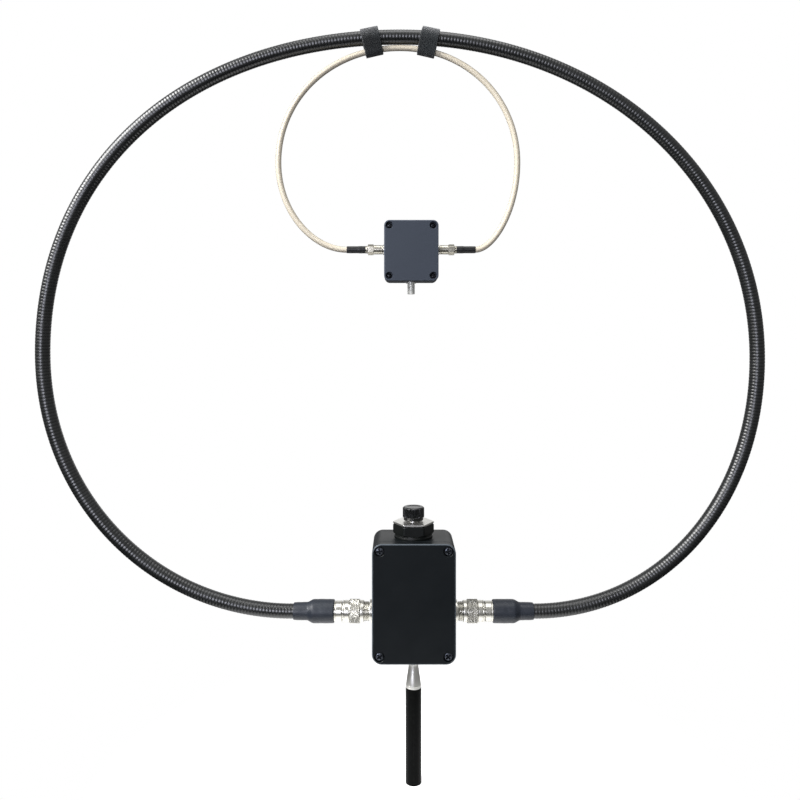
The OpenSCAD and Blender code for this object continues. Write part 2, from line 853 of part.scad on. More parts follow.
module shaft_bushing() {
    low = cap_top - end_plate_t;
    bore_r = shaft_d / 2 + run_gap;
    color("#b08d4a")
        rotate_extrude()
            polygon([
                [bore_r, low - bush_collar], [bush_d / 2 + bush_collar, low - bush_collar],
                [bush_d / 2 + bush_collar, low], [bush_d / 2, low], [bush_d / 2, bush_top],
                [bore_r, bush_top]]);
}

knob_bore_r = shaft_d / 2 + fit_gap;
set_screw_z = knob_bottom + knob_foot_h + set_screw_d / 2 + plate_edge;

module tuning_knob() {
    color("#141516")
        difference() {
            rotate_extrude()
                polygon([
                    [knob_bore_r, knob_bottom], [knob_foot_d / 2, knob_bottom],
                    [knob_foot_d / 2, knob_bottom + knob_foot_h],
                    [knob_d / 2, knob_bottom + knob_foot_h],
                    [knob_d / 2, knob_bottom + knob_h - knob_chamfer],
                    [knob_d / 2 - knob_chamfer, knob_bottom + knob_h],
                    [0, knob_bottom + knob_h], [0, shaft_top], [knob_bore_r, shaft_top]]);
            translate([0, 0, set_screw_z])
                rod_y(set_screw_d / 2 + fit_gap, shaft_d / 2, knob_d / 2 + cut);
        }
}

module knob_set_screw() {
    key_flats = set_screw_d / 2;
    set_screw_end = knob_d / 2 - plate_edge;
    color("#0e0f10")
        translate([0, 0, set_screw_z])
            difference() {
                rod_y(set_screw_d / 2, shaft_d / 2 + fit_gap, set_screw_end);
                translate([0, set_screw_end - key_flats, 0])
                    rotate([-90, 0, 0])
                        cylinder(h = key_flats + cut, r = key_flats / 2 / cos(30), $fn = 6);
            }
}

// Tuning capacitor

module rotor_shaft() {
    color("#b9bbbd")
        rod(shaft_d / 2, shaft_bottom, shaft_top);
}

// Half-round plates on a hub, facing right and half meshed with a stator behind
module rotor_stack(base) {
    pipe(hub_r, shaft_d / 2 + fit_gap, base - hub_end, base + stack_h + hub_end);
    for (i = [0 : stator_plates - 2])
        translate([0, 0, base + i * plate_pitch + plate_t + air_gap])
            rotate([0, 0, -90])
                rotate_extrude(angle = 180)
                    translate([shaft_d / 2 + fit_gap, 0])
                        square([rotor_r - shaft_d / 2 - fit_gap, plate_t]);
}

module rotor_plates() {
    color("#c3c6c9") {
        rotor_stack(lower_stack);
        rotor_stack(upper_stack);
    }
}

module at_posts(y) {
    for (x = [-1, 1])
        translate([x * post_x, y, 0])
            children();
}

// Square plates behind the shaft on two posts that end at their insulators
module stator(base, left, right, post_low, post_high) {
    difference() {
        for (i = [0 : stator_plates - 1])
            translate([-left, stator_front, base + i * plate_pitch])
                cube([left + right, stator_back - stator_front, plate_t]);
        rod(stator_notch, base - cut, base + stack_h + cut);
    }
    at_posts(post_y)
        rod(post_d / 2, post_low, post_high);
}

module stator_lower() {
    color("#c3c6c9")
        stator(lower_stack, strip_x, strip_x - stator_short, frame_floor + insulator_h,
            lower_stack + stack_h);
}

module stator_upper() {
    color("#c3c6c9")
        stator(upper_stack, strip_x - stator_short, strip_x, upper_stack,
            cap_top - end_plate_t - insulator_h);
}

module stator_insulators() {
    color("#efece4") {
        at_posts(post_y)
            rod(insulator_d / 2, frame_floor, frame_floor + insulator_h);
        at_posts(post_y)
            rod(insulator_d / 2, cap_top - end_plate_t - insulator_h, cap_top - end_plate_t);
    }
}

module end_plate(low) {
    plate_back = post_y + insulator_d / 2 + plate_edge;
    plate_front = post_y + post_d / 2 + plate_edge;
    translate([-frame_half_x, -plate_front, low])
        cube([2 * frame_half_x, plate_front + plate_back, end_plate_t]);
}

module capacitor_frame() {
    color("#a9adb1")
        difference() {
            union() {
                end_plate(frame_floor - end_plate_t);
                end_plate(cap_top - end_plate_t);
                at_posts(-post_y)
                    rod(post_d / 2, frame_floor - end_plate_t / 2, cap_top - end_plate_t / 2);
            }
            rod(shaft_d / 2 + run_gap, frame_floor - end_plate_t - cut, frame_floor + cut);
            rod(bush_hole, cap_top - end_plate_t - cut, cap_top + cut);
        }
}

// A strip from a socket's contact up to the edge of a stator
module link(side, top) {
    lug = strip_w / 2 - plate_edge;
    near = side == LEFT ? -strip_x - strip_t : strip_x;
    difference() {
        translate([near, -lug, jack_z - lug])
            cube([strip_t, strip_w, top - jack_z + lug]);
        at_jack(side)
            rod(contact_d / 2 + fit_gap, strip_x - cut, strip_x + strip_t + cut);
    }
}

module link_left() {
    color("#b87345")
        link(LEFT, lower_stack + stack_h);
}

module link_right() {
    color("#b87345")
        link(RIGHT, upper_stack + stack_h);
}

// Loop sockets

module jack(side) {
    color("#cfcfcb")
        at_jack(side)
            rotate_extrude()
                polygon([
                    [jack_bore_d / 2, jack_inner], [jack_thread_d / 2, jack_inner],
                    [jack_thread_d / 2, wall_out], [jack_flange_d / 2, wall_out],
                    [jack_flange_d / 2, wall_out + jack_flange_t],
                    [jack_thread_d / 2, wall_out + jack_flange_t],
                    [jack_thread_d / 2, jack_end], [jack_bore_d / 2, jack_end]]);
}

module jack_left() {
    jack(LEFT);
}

module jack_right() {
    jack(RIGHT);
}

module jack_insulators() {
    color("#e8e4da")
        for (side = [LEFT, RIGHT])
            at_jack(side)
                pipe(jack_bore_d / 2 - fit_gap, contact_d / 2 + fit_gap, jack_inner, insulator_front);
}

module jack_contacts() {
    socket_floor = pin_tip - face_gap;
    color("#c9a75c")
        for (side = [LEFT, RIGHT])
            at_jack(side)
                difference() {
                    rod(contact_d / 2, contact_inner, insulator_front);
                    rod(pin_d / 2 + run_gap, socket_floor, insulator_front + cut);
                }
}

module jack_nuts() {
    color("#c4c4c0")
        for (side = [LEFT, RIGHT])
            at_jack(side)
                hex_nut(jack_nut_flats, jack_thread_d / 2 + fit_gap, wall_in - jack_nut_t, wall_in);
}

// Main loop with its plugs

module main_loop_jacket() {
    radii = [for (i = [0 : 2 * rib_count]) i % 2 == 0 ? tube_r - rib_depth : tube_r];
    bore = [for (i = [1 : bore_rings]) jacket_bore_r];
    outer_points = len(radii) * tube_sides;
    points = concat(rings_of(loop_way, radii, tube_sides), rings_of(loop_way, bore, tube_sides));
    last_outer = outer_points - tube_sides;
    last_inner = len(points) - tube_sides;
    color("#2b302f")
        polyhedron(points, concat(
            skin(0, len(radii), tube_sides),
            flipped(skin(outer_points, bore_rings, tube_sides)),
            flipped(end_ring(0, outer_points, tube_sides)),
            end_ring(last_outer, last_inner, tube_sides)));
}

module main_loop_conductor() {
    outside = [for (i = [1 : bore_rings]) conductor_r];
    inside = [for (i = [1 : bore_rings]) conductor_r - conductor_wall];
    half = bore_rings * tube_sides;
    points = concat(rings_of(loop_way, outside, tube_sides), rings_of(loop_way, inside, tube_sides));
    color("#b87345")
        polyhedron(points, concat(
            skin(0, bore_rings, tube_sides),
            flipped(skin(half, bore_rings, tube_sides)),
            flipped(end_ring(0, half, tube_sides)),
            end_ring(half - tube_sides, len(points) - tube_sides, tube_sides)));
}

module plug(side) {
    nose_r = jack_bore_d / 2 - run_gap;
    shoulder_start = jack_end + face_gap;
    shoulder_end = cap_end - cap_lip - face_gap;
    socket_r = tube_r + fit_gap;
    color("#c6c6c2")
        at_jack(side)
            rotate_extrude()
                polygon([
                    [plug_bore_d / 2, nose_start], [nose_r, nose_start], [nose_r, shoulder_start],
                    [plug_shoulder_d / 2, shoulder_start], [plug_shoulder_d / 2, shoulder_end],
                    [plug_neck_d / 2, shoulder_end], [plug_neck_d / 2, ring_start],
                    [ring_d / 2, ring_start], [ring_d / 2, tube_start],
                    [barrel_d / 2, tube_start], [barrel_d / 2, barrel_end],
                    [socket_r, barrel_end], [socket_r, tube_start], [plug_bore_d / 2, tube_start]]);
}

module plug_left() {
    plug(LEFT);
}

module plug_right() {
    plug(RIGHT);
}

module plug_pins() {
    color("#c9a75c")
        for (side = [LEFT, RIGHT])
            at_jack(side) {
                rod(pin_d / 2, pin_tip, tube_start - pin_disc_t / 2);
                rod(plug_bore_d / 2 - fit_gap, tube_start - pin_disc_t, tube_start);
            }
}

module plug_insulators() {
    color("#e8e4da")
        for (side = [LEFT, RIGHT])
            at_jack(side)
                pipe(plug_bore_d / 2 - fit_gap, pin_d / 2 + fit_gap, nose_start + face_gap,
                    tube_start - pin_disc_t);
}

module sleeve(side) {
    barrel_r = barrel_d / 2 + fit_gap;
    inner_r = tube_r + fit_gap;
    color("#26262f")
        at_jack(side)
            rotate_extrude()
                polygon([
                    [barrel_r, tube_start], [sleeve_d / 2, tube_start],
                    [sleeve_d / 2, sleeve_wide_end], [sleeve_narrow_d / 2, sleeve_taper_end],
                    [sleeve_narrow_d / 2, sleeve_end], [inner_r, sleeve_end],
                    [inner_r, barrel_end], [barrel_r, barrel_end]]);
}

module sleeve_left() {
    sleeve(LEFT);
}

module sleeve_right() {
    sleeve(RIGHT);
}

module coupling_nut(side) {
    thread_r = jack_thread_d / 2 + run_gap;
    lip_r = plug_neck_d / 2 + run_gap;
    collar_r = cap_collar_d / 2;
    band_start = cap_start + cap_collar;
    band_end = band_start + cap_band;
    color("#c9c9c5")
        at_jack(side)
            rotate_extrude()
                polygon([
                    [thread_r, cap_start], [collar_r, cap_start], [collar_r, band_start],
                    [cap_d / 2, band_start], [cap_d / 2, band_end], [collar_r, band_end],
                    [collar_r, cap_end], [lip_r, cap_end], [lip_r, cap_end - cap_lip],
                    [thread_r, cap_end - cap_lip]]);
}

module coupling_nut_left() {
    coupling_nut(LEFT);
}

module coupling_nut_right() {
    coupling_nut(RIGHT);
}

// Coupling loop

module coupling_cable() {
    way_end = cable_way[0];
    places = concat([0], evenly(boot_len, way_end - boot_len, cable_rings), [way_end]);
    radii = [for (place = places) cable_r];
    points = rings_at(cable_way, places, radii, cable_sides);
    color("#d9d2bd")
        polyhedron(points, concat(
            skin(0, len(places), cable_sides),
            flipped(end_disc(0, cable_sides)),
            end_disc(len(points) - cable_sides, cable_sides)));
}

// A bore through a strap at a slope from the level
module strap_bore(x, z, slope, r) {
    reach = 2 * strap_w;
    translate([x, 0, z])
        rotate([0, 90 - slope, 0])
            translate([0, 0, -reach])
                cylinder(h = 2 * reach, r = r);
}

// A band wrapped around the tube and the cable below it, turning on one level axis
module strap(side) {
    place = crown_x + side * strap_place;
    cable_line = side == LEFT ? cable_over_left : cable_over_right;
    drop = swing_z - height_at(cable_line, place);
    cable_place = place - side * drop * tan(strap_lean);
    cable_z = height_at(cable_line, cable_place);
    lean = side * strap_lean;
    color("#15171a")
        difference() {
            translate([place, 0, swing_z])
                rotate([0, lean, 0])
                    rotate([90, 0, 90])
                        translate([0, 0, -strap_w / 2])
                            linear_extrude(strap_w)
                                hull() {
                                    circle(tube_r + strap_gap + strap_wall, $fn = 32);
                                    translate([0, (cable_z - swing_z) / cos(strap_lean)])
                                        circle(cable_r + cable_fit + strap_wall, $fn = 32);
                                }
            strap_bore(place, swing_z, 0, tube_r + strap_gap);
            strap_bore(cable_place, cable_z, slope_at(cable_line, cable_place), cable_r + cable_fit);
        }
}

module strap_left() {
    strap(LEFT);
}

module strap_right() {
    strap(RIGHT);
}

module boot(side) {
    color("#17181b")
        at_small_jack(side)
            pipe(boot_d / 2, cable_r + fit_gap, small_barrel_end, boot_end);
}

module boot_left() {
    boot(LEFT);
}

module boot_right() {
    boot(RIGHT);
}

// Coupling box

coupler_pillar_r = coupler_recess_d / 2 + plate_edge;
coupler_screw_hole = coupler_screw_d / 2 + fit_gap;
coupler_seat = coupler_front + coupler_recess;
board_low = feed_inner - board_lift;

module in_coupler() {
    translate([coupler_x, 0, coupler_mid])
        children();
}

module coupler_case() {
    boss_z = board_h / 2 - board_low;
    socket_hole = small_thread_d / 2 + fit_gap;
    color("#474c58")
        difference() {
            in_coupler() {
                box_case(coupler_w, coupler_h, coupler_corner_r, coupler_wall, coupler_split,
                    coupler_back, coupler_screw_inset, coupler_pillar_r, coupler_screw_hole,
                    coupler_seat + coupler_screw_len - coupler_split);
                for (x = [-1, 1], z = [-1, 1])
                    translate([x * board_w * boss_share_x, 0, boss_z + z * board_h * boss_share_z])
                        rod_y(boss_d / 2, board_back, coupler_back - coupler_wall / 2);
            }
            for (side = [LEFT, RIGHT])
                at_small_jack(side)
                    rod(socket_hole, small_wall - coupler_wall - cut, small_wall + cut);
            at_feed_jack()
                rod(socket_hole, feed_wall - coupler_wall - cut, feed_wall + cut);
        }
}

module coupler_lid() {
    color("#4a4f5c")
        in_coupler()
            box_lid(coupler_w, coupler_h, coupler_corner_r, coupler_wall, coupler_front,
                coupler_split, coupler_screw_inset, coupler_pillar_r, coupler_screw_hole,
                coupler_recess_d / 2, coupler_recess);
}

module coupler_seal() {
    color("#111111")
        in_coupler()
            seal_ring(coupler_w, coupler_h, coupler_corner_r, coupler_wall, 0,
                coupler_split - seal_t, coupler_split);
}

module coupler_lid_screws() {
    color("#0c0d0e")
        in_coupler()
            at_corners(coupler_w, coupler_h, coupler_screw_inset)
                lid_screw(coupler_screw_d, coupler_screw_len, coupler_head_d, coupler_head_h,
                    coupler_seat);
}

module junction_board() {
    color("#2f5d43")
        in_coupler()
            translate([-board_w / 2, board_front, -board_low])
                cube([board_w, board_t, board_h]);
}

module at_core() {
    in_coupler()
        translate([0, board_front - turn_r - wire_d / 2, board_h / 2 - board_low])
            rotate([90, 0, 0])
                children();
}

module balun_core() {
    color("#3b3b3e")
        at_core()
            pipe(core_r + core_side / 2, core_r - core_side / 2, -core_side / 2, core_side / 2);
}

module balun_winding() {
    color("#b5642f")
        at_core()
            for (i = [0 : wire_turns - 1])
                rotate([0, 0, (i + 0.5) * 360 / wire_turns])
                    translate([core_r, 0, 0])
                        rotate([90, 0, 0])
                            rotate_extrude()
                                translate([turn_r, 0])
                                    circle(d = wire_d);
}

// Small sockets and plugs

module small_jack(inner, wall, end) {
    color("#cfcfcb")
        rotate_extrude()
            polygon([
                [small_bore_d / 2, inner], [small_thread_d / 2, inner], [small_thread_d / 2, wall],
                [small_flange_d / 2, wall], [small_flange_d / 2, wall + small_flange_t],
                [small_thread_d / 2, wall + small_flange_t], [small_thread_d / 2, end],
                [small_bore_d / 2, end]]);
}

module coupler_jack_left() {
    at_small_jack(LEFT)
        small_jack(small_inner, small_wall, small_end);
}

module coupler_jack_right() {
    at_small_jack(RIGHT)
        small_jack(small_inner, small_wall, small_end);
}

module feed_jack() {
    at_feed_jack()
        small_jack(feed_inner, feed_wall, feed_end);
}

// Runs its children at the left, right and feed sockets
module at_small_jacks() {
    at_small_jack(LEFT)
        children(0);
    at_small_jack(RIGHT)
        children(0);
    at_feed_jack()
        children(1);
}

module small_nut(wall) {
    hex_nut(small_nut_flats, small_thread_d / 2 + fit_gap, wall - coupler_wall - small_nut_t,
        wall - coupler_wall);
}

module coupler_jack_nuts() {
    color("#c4c4c0")
        at_small_jacks() {
            small_nut(small_wall);
            small_nut(feed_wall);
        }
}

module small_insulator(inner, end) {
    pipe(small_bore_d / 2 - fit_gap, small_pin_d / 2 + fit_gap, inner, end - small_mouth);
}

module coupler_jack_insulators() {
    color("#f0ede6")
        at_small_jacks() {
            small_insulator(small_inner, small_end);
            small_insulator(feed_inner, feed_end);
        }
}

module small_pin(inner, end) {
    rod(small_pin_d / 2, inner - small_pin_tail, end - small_mouth);
}

module coupler_jack_pins() {
    color("#c9a75c")
        at_small_jacks() {
            small_pin(small_inner, small_end);
            small_pin(feed_inner, feed_end);
        }
}

module coupler_plug(side) {
    color("#c6c6c2")
        at_small_jack(side)
            rotate_extrude()
                polygon([
                    [0, small_end], [small_shoulder_d / 2, small_end],
                    [small_shoulder_d / 2, small_shoulder_end],
                    [small_neck_d / 2, small_shoulder_end],
                    [small_neck_d / 2, small_barrel_start],
                    [small_barrel_d / 2, small_barrel_start],
                    [small_barrel_d / 2, small_barrel_end], [0, small_barrel_end]]);
}

module coupler_plug_left() {
    coupler_plug(LEFT);
}

module coupler_plug_right() {
    coupler_plug(RIGHT);
}

module coupler_nut(side) {
    color("#c9c9c5")
        at_small_jack(side)
            difference() {
                union() {
                    rod(small_skirt_d / 2, small_cap_start, small_shoulder_end);
                    hex_nut(small_cap_flats, small_neck_d / 2 + run_gap, small_skirt_end, small_cap_end);
                }
                rod(small_thread_d / 2 + run_gap, small_cap_start - cut, small_cap_end - small_lip);
            }
}

module coupler_nut_left() {
    coupler_nut(LEFT);
}

module coupler_nut_right() {
    coupler_nut(RIGHT);
}

mast_tube();
mast_ferrule();
mast_stud();
tuner_case();
tuner_lid();
tuner_seal();
tuner_lid_screws();
mast_insert();
gland_base();
gland_nut();
gland_washer();
shaft_bushing();
capacitor_frame();
stator_lower();
stator_upper();
stator_insulators();
link_left();
link_right();
jack_left();
jack_right();
jack_insulators();
jack_contacts();
jack_nuts();
tuning_knob();
knob_set_screw();
rotor_shaft();
rotor_plates();
main_loop_jacket();
main_loop_conductor();
plug_left();
plug_right();
plug_pins();
plug_insulators();
sleeve_left();
sleeve_right();
coupling_nut_left();
coupling_nut_right();
coupling_cable();
strap_left();
strap_right();
boot_left();
boot_right();
coupler_case();
coupler_lid();
coupler_seal();
coupler_lid_screws();
coupler_jack_left();
coupler_jack_right();
feed_jack();
coupler_jack_nuts();
coupler_jack_insulators();
coupler_jack_pins();
coupler_plug_left();
coupler_plug_right();
coupler_nut_left();
coupler_nut_right();
junction_board();
balun_core();
balun_winding();
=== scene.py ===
"""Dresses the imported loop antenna: its fine shapes, finishes, floor, light and camera.

Shapes are worked out in millimetres and become metres where a mesh is made.
"""

import json
import logging
import math
from collections.abc import Callable, Sequence
from dataclasses import dataclass, field
from enum import Enum

import bmesh
import bpy
import numpy as np
from bpy.types import ID, Material, Mesh, Node, NodeSocket, NodeTree, Object
from mathutils import Matrix, Vector

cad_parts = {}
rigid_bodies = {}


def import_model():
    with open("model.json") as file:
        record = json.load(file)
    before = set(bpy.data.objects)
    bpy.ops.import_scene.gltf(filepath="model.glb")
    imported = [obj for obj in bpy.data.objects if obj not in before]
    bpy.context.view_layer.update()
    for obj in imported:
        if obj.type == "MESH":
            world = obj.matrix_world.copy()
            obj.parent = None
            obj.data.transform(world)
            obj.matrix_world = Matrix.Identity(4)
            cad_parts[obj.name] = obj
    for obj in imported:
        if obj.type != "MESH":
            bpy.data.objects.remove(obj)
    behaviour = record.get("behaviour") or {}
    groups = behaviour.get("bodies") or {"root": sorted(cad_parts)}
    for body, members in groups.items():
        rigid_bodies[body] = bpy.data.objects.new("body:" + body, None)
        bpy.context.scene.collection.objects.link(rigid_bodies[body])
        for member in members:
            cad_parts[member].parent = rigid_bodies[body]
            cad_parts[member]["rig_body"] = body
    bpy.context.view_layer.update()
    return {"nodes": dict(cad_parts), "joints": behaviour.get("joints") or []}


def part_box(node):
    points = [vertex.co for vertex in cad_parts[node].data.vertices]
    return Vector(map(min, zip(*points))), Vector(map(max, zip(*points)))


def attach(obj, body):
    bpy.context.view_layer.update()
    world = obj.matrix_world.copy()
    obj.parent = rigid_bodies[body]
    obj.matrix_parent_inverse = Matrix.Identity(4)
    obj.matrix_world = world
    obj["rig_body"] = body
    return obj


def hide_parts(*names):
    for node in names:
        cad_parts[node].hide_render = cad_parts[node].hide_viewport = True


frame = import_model()

MM = 0.001
TURN = 2 * math.pi
SHARP_ANGLE = math.radians(34)
WELD = 0.003 * MM
CORNER_SHARE = 0.45
CORNER_STEPS = (0.0, 0.33, 0.67, 1.0)
HEXAGON_CORNER = 1.142
KNURL_GUARD = 0.05
THREAD_STEEPNESS = 1.3
KNURL_STEEPNESS = 1.8
CLOUD_RANGE = (0.34, 0.66)
WORN_EDGES = (0.515, 0.58)
WORN_PATCHES = (0.42, 0.68)
SCRATCH_RANGE = (0.66, 0.74)
SCRATCH_TURN = (0.5, 0.9, 0.4)
SCRATCH_STRETCH = (1.0, 26.0, 4.0)
SCRATCH_SHARE = 0.25
LATHE_RANGE = (0.3, 0.7)
ROUTE_MAP = "route"

Profile = list[tuple[float, float]]
Limit = Callable[[np.ndarray, np.ndarray], np.ndarray]
Place = Sequence[float]
Colour = tuple[float, float, float, float]

WHITE: Colour = (1.0, 1.0, 1.0, 1.0)
ACROSS = (1.0, 0.0, 0.0)
BACKWARD = (0.0, 1.0, 0.0)
UPWARD = (0.0, 0.0, 1.0)
DOWNWARD = (0.0, 0.0, -1.0)

log = logging.getLogger("loop_antenna")


class Side(Enum):
    """A side of the mast, with its direction along X."""

    LEFT = -1
    RIGHT = 1

    @property
    def axis(self) -> Place:
        """Direction that points away from the middle on this side."""
        return (float(self.value), 0.0, 0.0)

    @property
    def word(self) -> str:
        """Name of the side as the nodes spell it."""
        return self.name.lower()


class Cut(Enum):
    """How one solid changes another."""

    AWAY = "DIFFERENCE"
    JOIN = "UNION"


class Lathe(Enum):
    """Direction along which a lathe's turning marks follow one another."""

    ACROSS = (5200.0, 30.0, 30.0)
    UPRIGHT = (30.0, 30.0, 5200.0)


def span(node: str) -> tuple[np.ndarray, np.ndarray]:
    """Gives a CAD node's lowest and highest corners in millimetres."""
    low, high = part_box(node)
    return np.array(low) / MM, np.array(high) / MM


def centre(node: str) -> np.ndarray:
    """Gives the middle of a CAD node in millimetres."""
    low, high = span(node)
    return (low + high) / 2


def shown(name: str, data: ID) -> Object:
    """Adds an object to the scene.

    Args:
        name: Name of the object.
        data: Its mesh, lamp or camera.

    Returns:
        The object.
    """
    thing = bpy.data.objects.new(name, data)
    bpy.context.scene.collection.objects.link(thing)
    return thing


def paint(code: str) -> Colour:
    """Turns a colour code into linear light.

    Args:
        code: Six hexadecimal digits after a hash.

    Returns:
        Red, green and blue in linear light, with full alpha.
    """
    shades = [int(code[i : i + 2], 16) / 255 for i in (1, 3, 5)]
    red, green, blue = (s / 12.92 if s <= 0.04045 else ((s + 0.055) / 1.055) ** 2.4 for s in shades)
    return (red, green, blue, 1.0)


class Graph:
    """Adds wired nodes to one shader tree."""

    def __init__(self, tree: NodeTree) -> None:
        """Starts on a tree."""
        self.tree = tree

    def add(self, kind: str, inputs: dict[str | int, object] | None = None, **settings: object) -> Node:
        """Adds a node.

        Args:
            kind: Class name of the node without its Shader prefix.
            inputs: Values or sockets for its inputs, by name or place.
            settings: Properties of the node.

        Returns:
            The new node.
        """
        node = self.tree.nodes.new("ShaderNode" + kind)
        for name, value in settings.items():
            setattr(node, name, value)
        for name, value in (inputs or {}).items():
            self.feed(node.inputs[name], value)
        return node

    def feed(self, socket: NodeSocket, value: object) -> None:
        """Links a socket into an input, or sets the input's own value.

        Args:
            socket: Input to feed.
            value: Another socket, or a plain value.
        """
        if isinstance(value, NodeSocket):
            self.tree.links.new(value, socket)
        else:
            socket.default_value = value

    def math(self, operation: str, first: object, second: object = 0.0) -> NodeSocket:
        """Combines two values."""
        return self.add("Math", {0: first, 1: second}, operation=operation).outputs[0]

    def times(self, first: object, second: object) -> NodeSocket:
        """Multiplies two values."""
        return self.math("MULTIPLY", first, second)

    def remap(
        self, value: object, low: float, high: float, first: float = 0.0, last: float = 1.0
    ) -> NodeSocket:
        """Stretches the range from low to high into one from first to last, and clamps it."""
        return self.add("MapRange", {0: value, 1: low, 2: high, 3: first, 4: last}).outputs[0]

    def mix(self, share: object, first: object, second: object) -> NodeSocket:
        """Blends two colours."""
        return self.add("Mix", {0: share, 6: first, 7: second}, data_type="RGBA").outputs[2]

    def noise(self, vector: object, scale: object, detail: float = 3.0) -> NodeSocket:
        """Adds a noise texture."""
        return self.add("TexNoise", {"Vector": vector, "Scale": scale, "Detail": detail}).outputs[0]

    def route(self) -> Sequence[NodeSocket]:
        """Reads the places around and along a piece from its route map."""
        return self.add("SeparateXYZ", {0: self.add("UVMap", uv_map=ROUTE_MAP).outputs[0]}).outputs

    def effect(self, name: str, **values: float) -> NodeSocket:
        """Places a shared effect.

        Args:
            name: Name of the effect in EFFECTS.
            values: Values for the effect's inputs.

        Returns:
            Socket of what it puts out.
        """
        group = bpy.data.node_groups.get(name) or EFFECTS[name]()
        node = self.add("Group", node_tree=group)
        for key, value in values.items():
            node.inputs[key.capitalize()].default_value = value
        return node.outputs[0]


class Effect:
    """A shader node group under construction."""

    def __init__(self, name: str, output: str, inputs: Sequence[str] = ("Scale",)) -> None:
        """Makes an empty group.

        Args:
            name: Name of the group.
            output: Name of its value output.
            inputs: Names of its value inputs.
        """
        self.tree = bpy.data.node_groups.new(name, "ShaderNodeTree")
        for key in inputs:
            self.tree.interface.new_socket(key, in_out="INPUT", socket_type="NodeSocketFloat")
        self.tree.interface.new_socket(output, in_out="OUTPUT", socket_type="NodeSocketFloat")
        self.graph = Graph(self.tree)
        self.inputs = self.tree.nodes.new("NodeGroupInput").outputs
        self.coordinates = self.graph.add("TexCoord").outputs["Object"]

    def noise(self, detail: float = 3.0) -> NodeSocket:
        """Adds a noise at the scale that the group is given."""
        return self.graph.noise(self.coordinates, self.inputs["Scale"], detail)

    def close(self, value: NodeSocket) -> NodeTree:
        """Wires the result to the output and gives the finished group."""
        self.graph.feed(self.tree.nodes.new("NodeGroupOutput").inputs[0], value)
        return self.tree


def surface_clouds() -> NodeTree:
    """Builds soft patches, for uneven colour and gloss."""
    effect = Effect("surface_clouds", "Mask")
    return effect.close(effect.graph.remap(effect.noise(4.0), *CLOUD_RANGE))


def fine_grain() -> NodeTree:
    """Builds the fine relief of a moulded or blasted surface."""
    effect = Effect("fine_grain", "Height")
    return effect.close(effect.noise(2.0))


def edge_wear() -> NodeTree:
    """Builds patchy rubbing along outer edges.

    Returns:
        The group.
    """
    effect = Effect("edge_wear", "Mask")
    graph = effect.graph
    edges = graph.remap(graph.add("NewGeometry").outputs["Pointiness"], *WORN_EDGES)
    return effect.close(graph.times(edges, graph.remap(effect.noise(), *WORN_PATCHES)))


def hair_scratches() -> NodeTree:
    """Builds thin handling scratches from a stretched noise.

    Returns:
        The group.
    """
    effect = Effect("hair_scratches", "Mask")
    graph = effect.graph
    slant = {"Vector": effect.coordinates, "Rotation": SCRATCH_TURN, "Scale": SCRATCH_STRETCH}
    lines = graph.noise(graph.add("Mapping", slant).outputs[0], effect.inputs["Scale"], 2.0)
    return effect.close(graph.remap(lines, *SCRATCH_RANGE))


def turning_marks() -> NodeTree:
    """Builds the fine rings that a lathe leaves, with a spacing along each axis.

    Returns:
        The group.
    """
    effect = Effect("turning_marks", "Mask", ("Across", "Depth", "Upright"))
    graph = effect.graph
    spacing = graph.add("CombineXYZ", {i: effect.inputs[i] for i in range(3)}).outputs[0]
    stretched = graph.add("VectorMath", {0: effect.coordinates, 1: spacing}, operation="MULTIPLY")
    return effect.close(graph.remap(graph.noise(stretched.outputs[0], 1.0), *LATHE_RANGE))


EFFECTS: dict[str, Callable[[], NodeTree]] = {
    effect.__name__: effect
    for effect in (surface_clouds, fine_grain, edge_wear, hair_scratches, turning_marks)
}


@dataclass
class Surface:
    """What a finish feeds into its shader from nodes."""

    colour: NodeSocket
    gloss: NodeSocket
    height: NodeSocket


